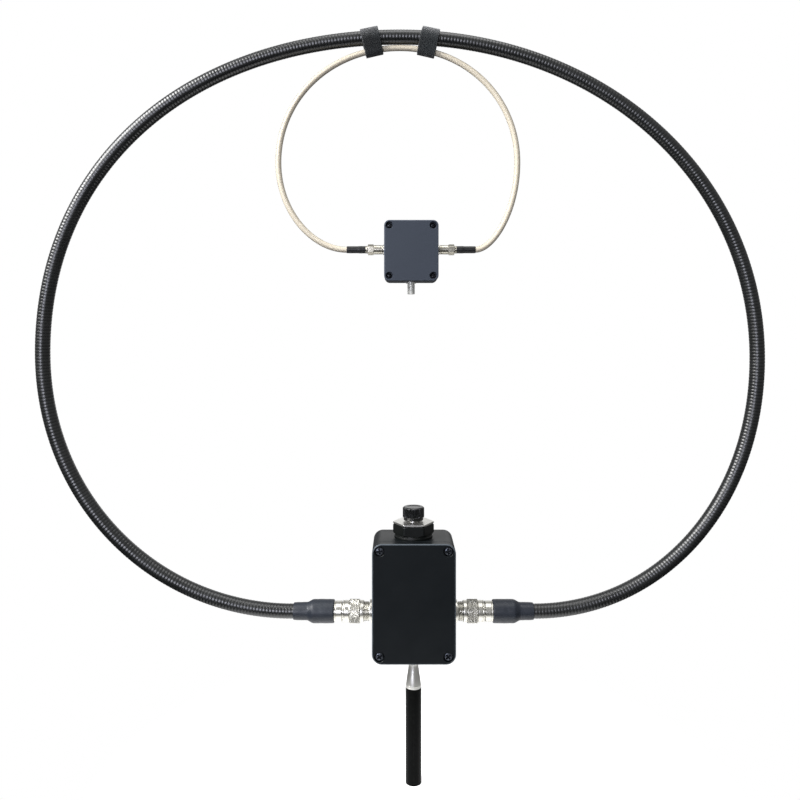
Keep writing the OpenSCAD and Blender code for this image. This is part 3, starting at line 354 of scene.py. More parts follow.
@dataclass(frozen=True)
class Finish:
    """A solid surface: a colour that drifts towards a second one, with grain and worn edges."""

    name: str
    slot: str
    colour: str
    second: str
    roughness: tuple[float, float]
    # Overlay colour: wear, stains and fading on most finishes; on moulded cases, a painted highlight along
    # the edges.
    rubbed: str
    metallic: float = 0.0
    specular: float = 0.5
    coat: float = 0.0
    sheen: float = 0.0
    cloud_scale: float = 40.0
    scratch_scale: float = 120.0
    wear_scale: float = 240.0
    grain_scale: float = 1600.0
    grain_depth: float = 0.02

    def material(self) -> Material:
        """Gives the finish's material, made on first use."""
        return bpy.data.materials.get(self.name) or self.build()

    def build(self) -> Material:
        """Makes the material.

        Returns:
            A material with one Principled shader.
        """
        material = bpy.data.materials.new(self.name)
        material.use_nodes = True
        graph = Graph(material.node_tree)
        sockets = material.node_tree.nodes["Principled BSDF"].inputs
        sockets["Metallic"].default_value = self.metallic
        sockets["Specular IOR Level"].default_value = self.specular
        sockets["Coat Weight"].default_value = self.coat
        sockets["Sheen Weight"].default_value = self.sheen
        surface = self.surface(graph)
        bump = graph.add("Bump", {"Height": surface.height, "Distance": self.grain_depth * MM})
        graph.feed(sockets["Base Color"], surface.colour)
        graph.feed(sockets["Roughness"], graph.remap(surface.gloss, 0.0, 1.0, *self.roughness))
        graph.feed(sockets["Normal"], bump.outputs[0])
        return material

    def clouds(self, graph: Graph) -> NodeSocket:
        """Places soft patches at the finish's scale."""
        return graph.effect("surface_clouds", scale=self.cloud_scale)

    def grain(self, graph: Graph) -> NodeSocket:
        """Places fine relief at the finish's scale."""
        return graph.effect("fine_grain", scale=self.grain_scale)

    def tint(self, graph: Graph, share: object) -> NodeSocket:
        """Drifts from the colour to the second one."""
        return graph.mix(share, paint(self.colour), paint(self.second))

    def rub(self, graph: Graph, share: object, base: object) -> NodeSocket:
        """Lays the overlay colour over another one; on moulded cases it is a painted highlight."""
        return graph.mix(share, base, paint(self.rubbed))

    def surface(self, graph: Graph) -> Surface:
        """Lays clouds, scratches and worn edges over the base colour.

        Args:
            graph: Graph of the material.

        Returns:
            Sockets for colour, gloss and relief.
        """
        clouds = self.clouds(graph)
        scratches = graph.times(graph.effect("hair_scratches", scale=self.scratch_scale), SCRATCH_SHARE)
        # here the overlay is wear alone: worn edges and scratches
        rubbed = graph.math("MAXIMUM", graph.effect("edge_wear", scale=self.wear_scale), scratches)
        return Surface(self.rub(graph, rubbed, self.tint(graph, clouds)), clouds, self.grain(graph))


@dataclass(frozen=True)
class MouldedCase(Finish):
    """Moulded plastic with even faces and a painted highlight: its outer edges are painted paler, and made
    glossier.
    """

    specular: float = 0.2
    grain_depth: float = 0.004
    edge_range: tuple[float, float] = (0.3, 0.9)
    least_polish: float = 0.75
    least_dull: float = 0.8

    def surface(self, graph: Graph) -> Surface:
        """Paints the highlight on the edges, which the route map marks, and makes them glossier.

        Args:
            graph: Graph of the material.

        Returns:
            Sockets for colour, gloss and relief.
        """
        clouds = self.clouds(graph)
        # painted highlight: the marked edges get the pale overlay colour and less roughness
        marked = graph.remap(graph.route()[1], *self.edge_range)
        edge = graph.times(marked, graph.remap(clouds, 0.0, 1.0, self.least_polish))
        dull = graph.remap(clouds, 0.0, 1.0, self.least_dull)
        dull = graph.times(dull, graph.math("SUBTRACT", 1.0, edge))
        return Surface(self.rub(graph, edge, self.tint(graph, clouds)), dull, self.grain(graph))


@dataclass(frozen=True)
class TurnedMetal(Finish):
    """Bright metal with the marks of the lathe."""

    metallic: float = 1.0
    wear_scale: float = 160.0
    grain_depth: float = 0.006
    lathe: Lathe = Lathe.ACROSS

    def surface(self, graph: Graph) -> Surface:
        """Lays turning marks over the metal.

        Args:
            graph: Graph of the material.

        Returns:
            Sockets for colour, gloss and relief.
        """
        across, depth, upright = self.lathe.value
        marks = graph.effect("turning_marks", across=across, depth=depth, upright=upright)
        clouds = self.clouds(graph)
        worn = graph.effect("edge_wear", scale=self.wear_scale)
        gloss = graph.times(graph.math("ADD", marks, clouds), 0.5)
        return Surface(self.rub(graph, worn, self.tint(graph, clouds)), gloss, marks)


@dataclass(frozen=True)
class RibbedJacket(Finish):
    """Matte jacket whose rib crests are scuffed paler."""

    crest_range: tuple[float, float] = (0.8, 0.3)
    speckle_scale: float = 420.0
    speckle_range: tuple[float, float, float] = (0.42, 0.62, 0.15)
    scuffing: float = 0.5

    def surface(self, graph: Graph) -> Surface:
        """Lightens the crests, which the length along the route gives in ribs.

        Args:
            graph: Graph of the material.

        Returns:
            Sockets for colour, gloss and relief.
        """
        wave = graph.math("ABSOLUTE", graph.math("COSINE", graph.times(graph.route()[1], math.pi)))
        crest = graph.remap(wave, *self.crest_range)
        clouds = self.clouds(graph)
        speckle = graph.effect("fine_grain", scale=self.speckle_scale)
        speckle = graph.remap(speckle, *self.speckle_range)
        scuffs = graph.times(graph.times(crest, speckle), self.scuffing)
        return Surface(self.rub(graph, scuffs, self.tint(graph, clouds)), clouds, self.grain(graph))


@dataclass(frozen=True)
class BraidedCable(Finish):
    """Clear jacket over a silvered braid, as two crossing sets of strands, with painted shade where seen
    edge-on.
    """

    strands: int = 8
    lay: float = 0.46
    weave_depth: float = 0.7
    stain: float = 0.35
    # colour of the painted shade towards the edges that are seen edge-on
    rim: str = "#9a8f78"
    rim_range: tuple[float, float] = (0.35, 0.85)
    rim_share: float = 0.85

    def surface(self, graph: Graph) -> Surface:
        """Weaves the strands from the places around and along the cable.

        Args:
            graph: Graph of the material.

        Returns:
            Sockets for colour, gloss and relief.
        """
        place = graph.route()
        around = graph.times(place[0], TURN * self.strands)
        along = graph.times(place[1], TURN * self.lay)
        left, right = (graph.math("SINE", graph.math(way, around, along)) for way in ("ADD", "SUBTRACT"))
        weave = graph.remap(graph.times(left, right), -self.weave_depth, self.weave_depth)
        clouds = self.clouds(graph)
        base = graph.mix(weave, paint(self.second), paint(self.colour))
        stained = self.rub(graph, graph.times(clouds, self.stain), base)
        # painted shade: the colour darkens to the rim colour where the cable is seen edge-on
        slope = graph.add("LayerWeight", {"Blend": 0.5}).outputs["Facing"]
        rim = graph.remap(slope, *self.rim_range, 0.0, self.rim_share)
        return Surface(graph.mix(rim, stained, paint(self.rim)), clouds, weave)


@dataclass(frozen=True)
class LoopPile(Finish):
    """Hook-and-loop tape with a short curly pile."""

    curl_scale: float = 260.0
    curl_size: float = 0.004
    loop_range: tuple[float, float] = (0.1, 0.75)
    fading: float = 0.4

    def surface(self, graph: Graph) -> Surface:
        """Packs small loops of thread close together.

        Args:
            graph: Graph of the material.

        Returns:
            Sockets for colour, gloss and relief.
        """
        coordinates = graph.add("TexCoord").outputs["Object"]
        curl = graph.add("TexNoise", {"Vector": coordinates, "Scale": self.curl_scale}).outputs[1]
        swirl = graph.add("VectorMath", {0: curl, 3: self.curl_size}, operation="SCALE").outputs[0]
        moved = graph.add("VectorMath", {0: swirl, 1: coordinates}, operation="ADD").outputs[0]
        cells = graph.add("TexVoronoi", {"Vector": moved, "Scale": self.grain_scale}).outputs[0]
        loops = graph.remap(cells, *self.loop_range, 1.0, 0.0)
        clouds = self.clouds(graph)
        base = graph.mix(loops, paint(self.second), paint(self.colour))
        return Surface(self.rub(graph, graph.times(clouds, self.fading), base), clouds, loops)


@dataclass(frozen=True)
class FadingFloor(Finish):
    """Pale, faintly lit floor that fades out around its middle, so that its rim never shows."""

    solid_r: float = 0.05
    clear_r: float = 0.27
    glow: float = 0.75

    def build(self) -> Material:
        """Makes the material.

        Returns:
            The plain material, see-through away from the middle.
        """
        material = super().build()
        graph = Graph(material.node_tree)
        place = graph.add("TexCoord").outputs["Object"]
        distance = graph.add("VectorMath", {0: place}, operation="LENGTH").outputs["Value"]
        sockets = material.node_tree.nodes["Principled BSDF"].inputs
        sockets["Emission Strength"].default_value = self.glow
        graph.feed(sockets["Alpha"], graph.remap(distance, self.solid_r, self.clear_r, 1.0, 0.0))
        return material


# The overlay colour of each moulded case is its painted highlight along the edges.
CASE_BLACK = MouldedCase(
    "tuner_black_plastic", "tuner_plastic", "#070c0f", "#090e11", (0.22, 0.45), "#596066",
)
# Painted light: the coupling box is black plastic like the tuning box; this bluish grey stands in for the
# light its face catches.
CASE_PAINTED_GREY = MouldedCase(
    "coupler_grey_plastic", "coupler_plastic", "#373d47", "#393f49", (0.3, 0.5), "#494f5a",
)
GLAND_BLACK = Finish(
    "gland_black_plastic", "gland_plastic", "#050807", "#080b0a", (0.34, 0.44), "#1f2423", specular=0.28,
)
MAST_BLACK = Finish(
    "mast_black_paint", "mast_black", "#040505", "#060706", (0.16, 0.26), "#161716",
    specular=0.05, grain_depth=0.004,
)
KNOB_BLACK = Finish("knob_black_anodised", "knob_black", "#070808", "#0b0c0c", (0.2, 0.3), "#5f6064")
SCREW_BLACK = Finish(
    "screw_black_oxide", "screw_black", "#35373b", "#2c2e32", (0.24, 0.36), "#8d9096", metallic=0.9,
)
# Painted light: a paler copy of the black oxide screws, for the reflections that the tuning box's screw
# heads catch.
SCREW_PAINTED_BRIGHT = Finish(
    "screw_worn_oxide", "screw_black", "#4a4e55", "#3f4349", (0.28, 0.4), "#a0a5ae", metallic=0.9,
)
SLEEVE_BLACK = Finish(
    "shrink_sleeve", "shrink_black", "#1a1f29", "#20262f", (0.4, 0.5), "#3a414d", grain_scale=700.0,
)
BOOT_BLACK = Finish(
    "small_boot", "shrink_black", "#0a0b0d", "#0e0f11", (0.38, 0.5), "#28292c", grain_scale=900.0,
)
NICKEL = TurnedMetal("turned_nickel", "nickel", "#d8d6ce", "#c8c6be", (0.18, 0.36), "#e6e4dc")
PLUG_NICKEL = TurnedMetal("plug_nickel", "nickel", "#c4c0b3", "#b0ac9f", (0.18, 0.34), "#d8d5ca")
FERRULE_NICKEL = TurnedMetal(
    "upright_nickel", "nickel", "#e2e1dd", "#d2d1cc", (0.23, 0.39), "#eeede8", lathe=Lathe.UPRIGHT,
)
# Painted light: a paler, partly diffuse copy of the nickel, so that the feed jack reads as brightly lit.
FEED_NICKEL = TurnedMetal(
    "satin_nickel", "nickel", "#f3f3ee", "#e8e8e2", (0.4, 0.55), "#f8f8f4",
    metallic=0.6, lathe=Lathe.UPRIGHT,
)
TUBE_JACKET = RibbedJacket(
    "ribbed_jacket", "jacket_black", "#070a09", "#0a0d0c", (0.28, 0.36), "#1d1d23",
    specular=0.8, grain_depth=0.004,
)
CABLE_BRAID = BraidedCable(
    "braided_cable", "cable_jacket", "#e2dac9", "#c9bea7", (0.24, 0.36), "#d6cbb5",
    specular=0.3, coat=0.15, cloud_scale=60.0, grain_depth=0.08,
)
STRAP_PILE = LoopPile(
    "strap_pile", "strap_fabric", "#1c2124", "#0e1012", (0.8, 0.92), "#2a3033",
    specular=0.2, sheen=0.5, grain_scale=1500.0, grain_depth=0.35,
)
STEEL = TurnedMetal(
    "ground_steel", "steel", "#b7b8b9", "#a3a5a7", (0.2, 0.36), "#cfd0d1",
    grain_depth=0.02, lathe=Lathe.UPRIGHT,
)
BRASS = TurnedMetal(
    "turned_brass", "brass_metal", "#c49a4e", "#a98240", (0.2, 0.36), "#e0bd74", grain_depth=0.02,
)
COPPER = Finish("drawn_copper", "copper_metal", "#b06a45", "#8f5236", (0.25, 0.42), "#d28c66", metallic=1.0)
ALUMINIUM = Finish(
    "rolled_aluminium", "plate_aluminium", "#bfc2c5", "#aaaeb2", (0.28, 0.44), "#dcdee0", metallic=1.0,
)
RUBBER = Finish("seal_rubber_black", "seal_rubber", "#0d0d0d", "#141414", (0.7, 0.85), "#1e1e1e")
INSULATOR = Finish("white_insulator", "insulator_white", "#ece8de", "#dcd7ca", (0.35, 0.5), "#f5f2ea")
CERAMIC = Finish("stator_glaze", "stator_ceramic", "#eeeae0", "#e0dbcd", (0.18, 0.32), "#f6f3ec", coat=0.3)
BOARD = Finish("green_board", "board_green", "#245039", "#1c4330", (0.3, 0.46), "#6f8f6f", coat=0.2)
FERRITE = Finish("grey_ferrite", "ferrite_grey", "#38383b", "#2c2c2f", (0.5, 0.68), "#56565a")
WIRE = Finish(
    "enamelled_wire", "copper_metal", "#a4572c", "#86421f", (0.18, 0.3), "#c97d4c", metallic=0.9, coat=0.4,
)
FLOOR_PALE = FadingFloor(
    "pale_floor", "", "#fafafa", "#f7f7f7", (0.7, 0.85), "#fafafa",
    specular=0.1, cloud_scale=1.5, scratch_scale=4.5, wear_scale=9.0,
)


class Sculpt:
    """Collects rings of points in millimetres and skins them into one mesh in metres."""

    def __init__(self) -> None:
        """Starts empty."""
        self.points: list[np.ndarray] = []
        self.faces: list[list[int]] = []
        self.route: list[np.ndarray] = []
        self.count = 0

    def skin(self, rings: np.ndarray, closed: bool = False, places: np.ndarray | None = None) -> "Sculpt":
        """Joins rings of points one after another.

        Args:
            rings: Points as rings, places around a ring, and three coordinates.
            closed: Whether the last ring joins the first. Other skins get a flat cap at each end.
            places: Place of each ring along a route, for the map that finishes read.

        Returns:
            This sculpt, so that calls can follow one another.
        """
        total, sides = rings.shape[:2]
        joined = total if closed else total - 1
        index = self.count + np.arange(total * sides).reshape(total, sides)
        near, far = index[:joined], np.roll(index, -1, axis=0)[:joined]
        quads = np.stack([near, np.roll(near, -1, axis=1), np.roll(far, -1, axis=1), far], axis=-1)
        self.faces += quads.reshape(-1, 4).tolist()
        lengths = np.zeros(total) if places is None else places
        here = np.repeat(lengths[:joined, None], sides, axis=1)
        there = np.repeat(np.roll(lengths, -1)[:joined, None], sides, axis=1)
        first = np.repeat(np.arange(sides)[None] / sides, joined, axis=0)
        last = first + 1 / sides
        self.route.append(np.stack([first, here, last, here, last, there, first, there], axis=-1).ravel())
        if not closed:
            self.faces += [index[0][::-1].tolist(), index[-1].tolist()]
            self.route.append(np.zeros(4 * sides))
        self.points.append(rings.reshape(-1, 3))
        self.count += total * sides
        return self

    def mesh(self) -> Mesh:
        """Makes the mesh.

        Returns:
            A smooth mesh with outward faces, sharp edges marked, in metres.
        """
        mesh = bpy.data.meshes.new("sculpt")
        mesh.from_pydata((np.concatenate(self.points) * MM).tolist(), [], self.faces)
        route = np.concatenate(self.route).astype(np.float32)
        mesh.uv_layers.new(name=ROUTE_MAP).data.foreach_set("uv", route)
        return outward(mesh)


def outward(mesh: Mesh, weld: float = 0.0) -> Mesh:
    """Turns every face outward and marks the sharp edges.

    Args:
        mesh: Closed mesh to tidy.
        weld: Distance within which points become one, or none.

    Returns:
        The same mesh.
    """
    work = bmesh.new()
    work.from_mesh(mesh)
    if weld:
        bmesh.ops.remove_doubles(work, verts=work.verts, dist=weld)
    bmesh.ops.recalc_face_normals(work, faces=work.faces)
    work.to_mesh(mesh)
    work.free()
    mesh.shade_smooth()
    mesh.set_sharp_from_angle(angle=SHARP_ANGLE)
    return mesh


def carved(base: Mesh, tool: Mesh, cut: Cut) -> Mesh:
    """Cuts one solid by another, or joins them.

    Args:
        base: Solid to change, which is used up.
        tool: Solid that changes it, which is used up.
        cut: What the tool does.

    Returns:
        The changed solid.
    """
    holders = [shown("carving", mesh) for mesh in (base, tool)]
    step = holders[0].modifiers.new("carve", "BOOLEAN")
    step.object = holders[1]
    step.operation = cut.value
    step.solver = "EXACT"
    bpy.context.view_layer.update()
    ready = holders[0].evaluated_get(bpy.context.evaluated_depsgraph_get())
    result = bpy.data.meshes.new_from_object(ready)
    for holder, mesh in zip(holders, (base, tool)):
        bpy.data.objects.remove(holder)
        bpy.data.meshes.remove(mesh)
    return outward(result)


def repeated(mesh: Mesh, places: Sequence[Matrix]) -> Mesh:
    """Copies a mesh to several places as one mesh.

    Args:
        mesh: Mesh to copy, which is used up.
        places: Where each copy goes.

    Returns:
        A mesh of all the copies.
    """
    work = bmesh.new()
    for place in places:
        copy = mesh.copy()
        copy.transform(place)
        work.from_mesh(copy)
        bpy.data.meshes.remove(copy)
    work.to_mesh(mesh)
    work.free()
    return outward(mesh)


def turned(profile: Profile, segments: int, limit: Limit | None = None) -> np.ndarray:
    """Turns a profile around the Z axis.

    Args:
        profile: Places along the axis with their radii.
        segments: Points around each ring.
        limit: Largest radius at an angle and a place along the axis.

    Returns:
        Rings of points.
    """
    along, radius = (np.array(column)[:, None] for column in zip(*profile))
    angle = (np.arange(segments) / segments * TURN)[None, :]
    full = np.repeat(radius, segments, axis=1)
    kept = full if limit is None else np.minimum(full, limit(angle, along))
    heights = np.repeat(along, segments, axis=1)
    return np.stack([kept * np.cos(angle), kept * np.sin(angle), heights], axis=-1)


def placed(rings: np.ndarray, origin: Place, axis: Place) -> np.ndarray:
    """Moves rings from the Z axis to another axis.

    Args:
        rings: Rings of points.
        origin: Where the axis starts.
        axis: Direction of the axis.

    Returns:
        The moved rings.
    """
    forward = np.array(axis)
    first = np.array(ACROSS if abs(forward[2]) > 0.5 else UPWARD)
    second = np.cross(forward, first)
    return rings[..., :1] * first + rings[..., 1:2] * second + rings[..., 2:] * forward + np.array(origin)


def eased(profile: Profile, radius: float, closed: bool = True) -> Profile:
    """Rounds the corners of a profile.

    Args:
        profile: Corners as places along the axis with their radii.
        radius: Size of the rounding, cut short on short stretches.
        closed: Whether the profile goes round to its first corner again.

    Returns:
        The rounded profile.
    """
    corners = [np.array(p, float) for p in profile]
    result: list[np.ndarray] = []
    for i, corner in enumerate(corners):
        if not closed and i in (0, len(corners) - 1):
            result.append(corner)
            continue
        ways = [corners[i - 1] - corner, corners[(i + 1) % len(corners)] - corner]
        room = min(radius, *(CORNER_SHARE * np.linalg.norm(way) for way in ways))
        start, end = (corner + way / np.linalg.norm(way) * room for way in ways)
        for t in CORNER_STEPS:
            result.append((1 - t) ** 2 * start + 2 * t * (1 - t) * corner + t**2 * end)
    return [(float(a), float(r)) for a, r in result]


def divided(profile: Profile, low: float, high: float, least_r: float, step: float) -> Profile:
    """Adds points to the outer stretches of a profile, where threads or knurls need them.

    Args:
        profile: Places along the axis with their radii.
        low: Start of the stretch.
        high: End of the stretch.
        least_r: Smallest radius that is divided.
        step: Longest distance between points.

    Returns:
        The divided profile.
    """
    result: Profile = []
    for (a, r), (b, q) in zip(profile, profile[1:] + profile[:1]):
        inside = min(a, b) >= low - step and max(a, b) <= high + step and min(r, q) >= least_r
        parts = math.ceil(abs(b - a) / step) if inside else 1
        result += [(a, r), *((a + (b - a) * i / parts, r + (q - r) * i / parts) for i in range(1, parts))]
    return result


def groove(start: float, radius: float, depth: float, slope: float, floor: float) -> Profile:
    """Draws a groove around a piece.

    Args:
        start: Place where it begins.
        radius: Radius of the piece.
        depth: Depth of the groove.
        slope: Length of each of its flanks.
        floor: Length of its floor.

    Returns:
        Its four corners.
    """
    low, flank = radius - depth, start + slope
    return [(start, radius), (flank, low), (flank + floor, low), (flank + floor + slope, radius)]


def chamfer(flats: float, share: float, height: float, steps: Sequence[float]) -> Profile:
    """Draws how a turned chamfer rises to the corners of a hexagon.

    Args:
        flats: Width across the flats.
        share: Radius where it begins, as a share of half that width.
        height: Height of the chamfer at the corners.
        steps: Shares of the height that get a point.

    Returns:
        Heights with their radii.
    """
    first, last = flats / 2 * share, flats / 2 / math.cos(TURN / 12)
    return [(height * t, first + (last - first) * math.sqrt(t)) for t in steps]


def hexagon(flats: float) -> Limit:
    """Limits a turned shape to a hexagon with slightly broken corners.

    Args:
        flats: Width across the flats.

    Returns:
        The limit.
    """

    def limit(angle: np.ndarray, along: np.ndarray) -> np.ndarray:
        """Gives the hexagon's radius at an angle."""
        off_flat = np.mod(angle, TURN / 6) - TURN / 12
        return np.minimum(flats / 2 / np.cos(off_flat), flats / 2 * HEXAGON_CORNER) + 0 * along

    return limit


def tooth(phase: np.ndarray, steepness: float) -> np.ndarray:
    """Gives the height of a flat-topped tooth, from 0 to 1, at a phase counted in teeth."""
    return np.clip(steepness * (1 - np.abs(2 * np.mod(phase, 1.0) - 1)), 0.0, 1.0)


def threaded(radius: float, depth: float, pitch: float, low: float, high: float) -> Limit:
    """Limits a turned shape to a screw thread.

    Args:
        radius: Radius over the crests.
        depth: Depth of the thread.
        pitch: Distance from crest to crest.
        low: Start of the thread.
        high: End of the thread.

    Returns:
        The limit.
    """

    def limit(angle: np.ndarray, along: np.ndarray) -> np.ndarray:
        """Gives the thread's radius at an angle and a place."""
        height = tooth(along / pitch - angle / TURN, THREAD_STEEPNESS)
        return np.where((along > low) & (along < high), radius - depth * (1 - height), np.inf)

    return limit


def knurled(radius: float, depth: float, teeth: int, slant: float, low: float, high: float) -> Limit:
    """Limits a turned shape to a knurl of crossing grooves, or of straight ones with no slant.

    Args:
        radius: Radius over the teeth.
        depth: Depth of the grooves.
        teeth: Grooves around the piece.
        slant: Grooves passed per millimetre along the axis.
        low: Start of the knurl.
        high: End of the knurl.

    Returns:
        The limit.
    """

    def limit(angle: np.ndarray, along: np.ndarray) -> np.ndarray:
        """Gives the knurl's radius at an angle and a place."""
        phases = [angle / TURN * teeth + way * slant * along for way in (-1, 1)]
        height = np.minimum(*(tooth(phase, KNURL_STEEPNESS) for phase in phases))
        return np.where((along > low) & (along < high), radius - depth * (1 - height), np.inf)

    return limit


def quarter(start: Place, end: Place, level: float, upright: float, steps: int = 160) -> np.ndarray:
    """Draws a quarter turn that leaves its start level and reaches its end upright.

    Args:
        start: First point, as X and Z.
        end: Last point, as X and Z.
        level: Length of the level handle as a share of the way across.
        upright: Length of the upright handle as a share of the way up.
        steps: Steps along the curve.

    Returns:
        Points as X and Z.
    """
    a, b = np.array(start), np.array(end)
    a_handle = np.array((a[0] + level * (b[0] - a[0]), a[1]))
    b_handle = np.array((b[0], b[1] + upright * (a[1] - b[1])))
    t = np.linspace(0, 1, steps + 1)[:, None]
    u = 1 - t
    return u**3 * a + 3 * u**2 * t * a_handle + 3 * u * t**2 * b_handle + t**3 * b


class Route:
    """A path in the X and Z directions that tubes are swept along."""

    def __init__(self, stretches: Sequence[np.ndarray]) -> None:
        """Joins stretches end to end.

        Args:
            stretches: Points of each stretch as X and Z.
        """
        first, *rest = stretches
        self.points = np.concatenate([first, *(stretch[1:] for stretch in rest)])
        steps = np.linalg.norm(np.diff(self.points, axis=0), axis=1)
        self.running = np.concatenate([[0.0], np.cumsum(steps)])
        self.length = float(self.running[-1])
        slopes = np.gradient(self.points, self.running, axis=0)
        self.headings = np.unwrap(np.arctan2(slopes[:, 1], slopes[:, 0]))

    def rings(self, places: np.ndarray, radii: np.ndarray | float, sides: int) -> np.ndarray:
        """Draws rings square to the route.

        Args:
            places: Length along the route of each ring.
            radii: Radius of each ring, or of all.
            sides: Points around each ring.

        Returns:
            Rings of points.
        """
        x, z = (np.interp(places, self.running, self.points[:, i])[:, None] for i in (0, 1))
        heading = np.interp(places, self.running, self.headings)[:, None]
        angle = np.arange(sides) / sides * TURN
        wide = np.broadcast_to(radii, places.shape)
        up, out = np.outer(wide, np.cos(angle)), np.outer(wide, np.sin(angle))
        return np.stack([x - np.sin(heading) * up, out, z + np.cos(heading) * up], axis=-1)


def dress(node: str, mesh: Mesh, finish: Finish, even: bool = True) -> None:
    """Puts a finished piece in the place of a CAD node.

    Args:
        node: Node that the piece stands for.
        mesh: Mesh of the piece.
        finish: Finish of the piece.
        even: Whether wide faces keep flat shading beside rounded edges.
    """
    mesh.name = f"{node}_shape"
    mesh.materials.clear()
    mesh.materials.append(finish.material())
    piece = shown(f"{node}_dressed", mesh)
    if even:
        piece.modifiers.new("even_shading", "WEIGHTED_NORMAL").keep_sharp = True
    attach(piece, frame["nodes"][node]["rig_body"])
    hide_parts(node)
    log.info("%s: %d faces, %s", piece.name, len(mesh.polygons), finish.name)


def lathe(node: str, rings: np.ndarray, finish: Finish, closed: bool = True) -> None:
    """Puts a turned piece in the place of a CAD node, with flat caps if it isn't closed."""
    dress(node, Sculpt().skin(rings, closed).mesh(), finish)


@dataclass
class Mast:
    """Short mast rod with the bright ferrule that the tuning box turns on."""

    wall: float = 1.2
    rim_h: float = 2.6
    rim_r: float = 6.5
    flare_h: float = 16.0
    flare_r: float = 6.2
    flare_steps: int = 9
    neck_r: float = 4.0
    neck_notch: float = 1.4
    neck_notch_half: float = 0.2
    rim_notch_half: float = 0.13
    spigot_len: float = 19.0
    spigot_r: float = 5.45
    spigot_chamfer: float = 0.4
    stud_seat: float = 12.0
    stud_r: float = 3.225
    notch_depth: float = 0.25
    rod_edge: float = 0.35
    ferrule_edge: float = 0.22
    segments: int = 72

    def build(self) -> None:
        """Makes the rod and the ferrule."""
        self.rod()
        self.ferrule()

    def rod(self) -> None:
        """Makes the rod, open at its lower end."""
        (_, _, low), (outer, _, high) = span("mast_tube")
        inner = outer - self.wall
        corners = [(low, outer), (high, outer), (high, inner), (low, inner)]
        lathe("mast_tube", turned(eased(corners, self.rod_edge), self.segments), MAST_BLACK)

    def notch(self, place: float, radius: float, half: float) -> Profile:
        """Draws a fine notch around the ferrule."""
        return [(place - half, radius), (place, radius - self.notch_depth), (place + half, radius)]

    def ferrule(self) -> None:
        """Makes the ferrule, with a soft flare between its neck and its notched rim."""
        (_, _, low), (_, _, high) = span("mast_ferrule")
        seat = low + self.spigot_len
        rim_top = seat + self.rim_h
        flare: Profile = []
        for t in np.linspace(0, 1, self.flare_steps):
            share = t * (1 + t * (3 - 2 * t)) / 2
            radius = self.flare_r + (self.neck_r - self.flare_r) * share
            flare.append((rim_top + self.flare_h * t, radius))
        corners = [
            (low, self.spigot_r - self.spigot_chamfer),
            (low + self.spigot_chamfer, self.spigot_r),
            (seat, self.spigot_r),
            (seat, self.rim_r),
            *self.notch((seat + rim_top) / 2, self.rim_r, self.rim_notch_half),
            (rim_top, self.rim_r),
            *flare,
            *self.notch(high - self.neck_notch, self.neck_r, self.neck_notch_half),
            (high, self.neck_r),
            (high, self.stud_r),
            (high - self.stud_seat, self.stud_r),
        ]
        rings = turned(eased(corners, self.ferrule_edge, closed=False), self.segments)
        lathe("mast_ferrule", rings, FERRULE_NICKEL, closed=False)


@dataclass
class Rod:
    """A round rod inside a box, as a boss or as the tool that cuts a hole."""

    origin: Place
    axis: Place
    low: float
    high: float
    radius: float
    segments: int = 64

    def rings(self) -> np.ndarray:
        """Draws the rod's two ends."""
        ends = [(self.low, self.radius), (self.high, self.radius)]
        return placed(turned(ends, self.segments), self.origin, self.axis)


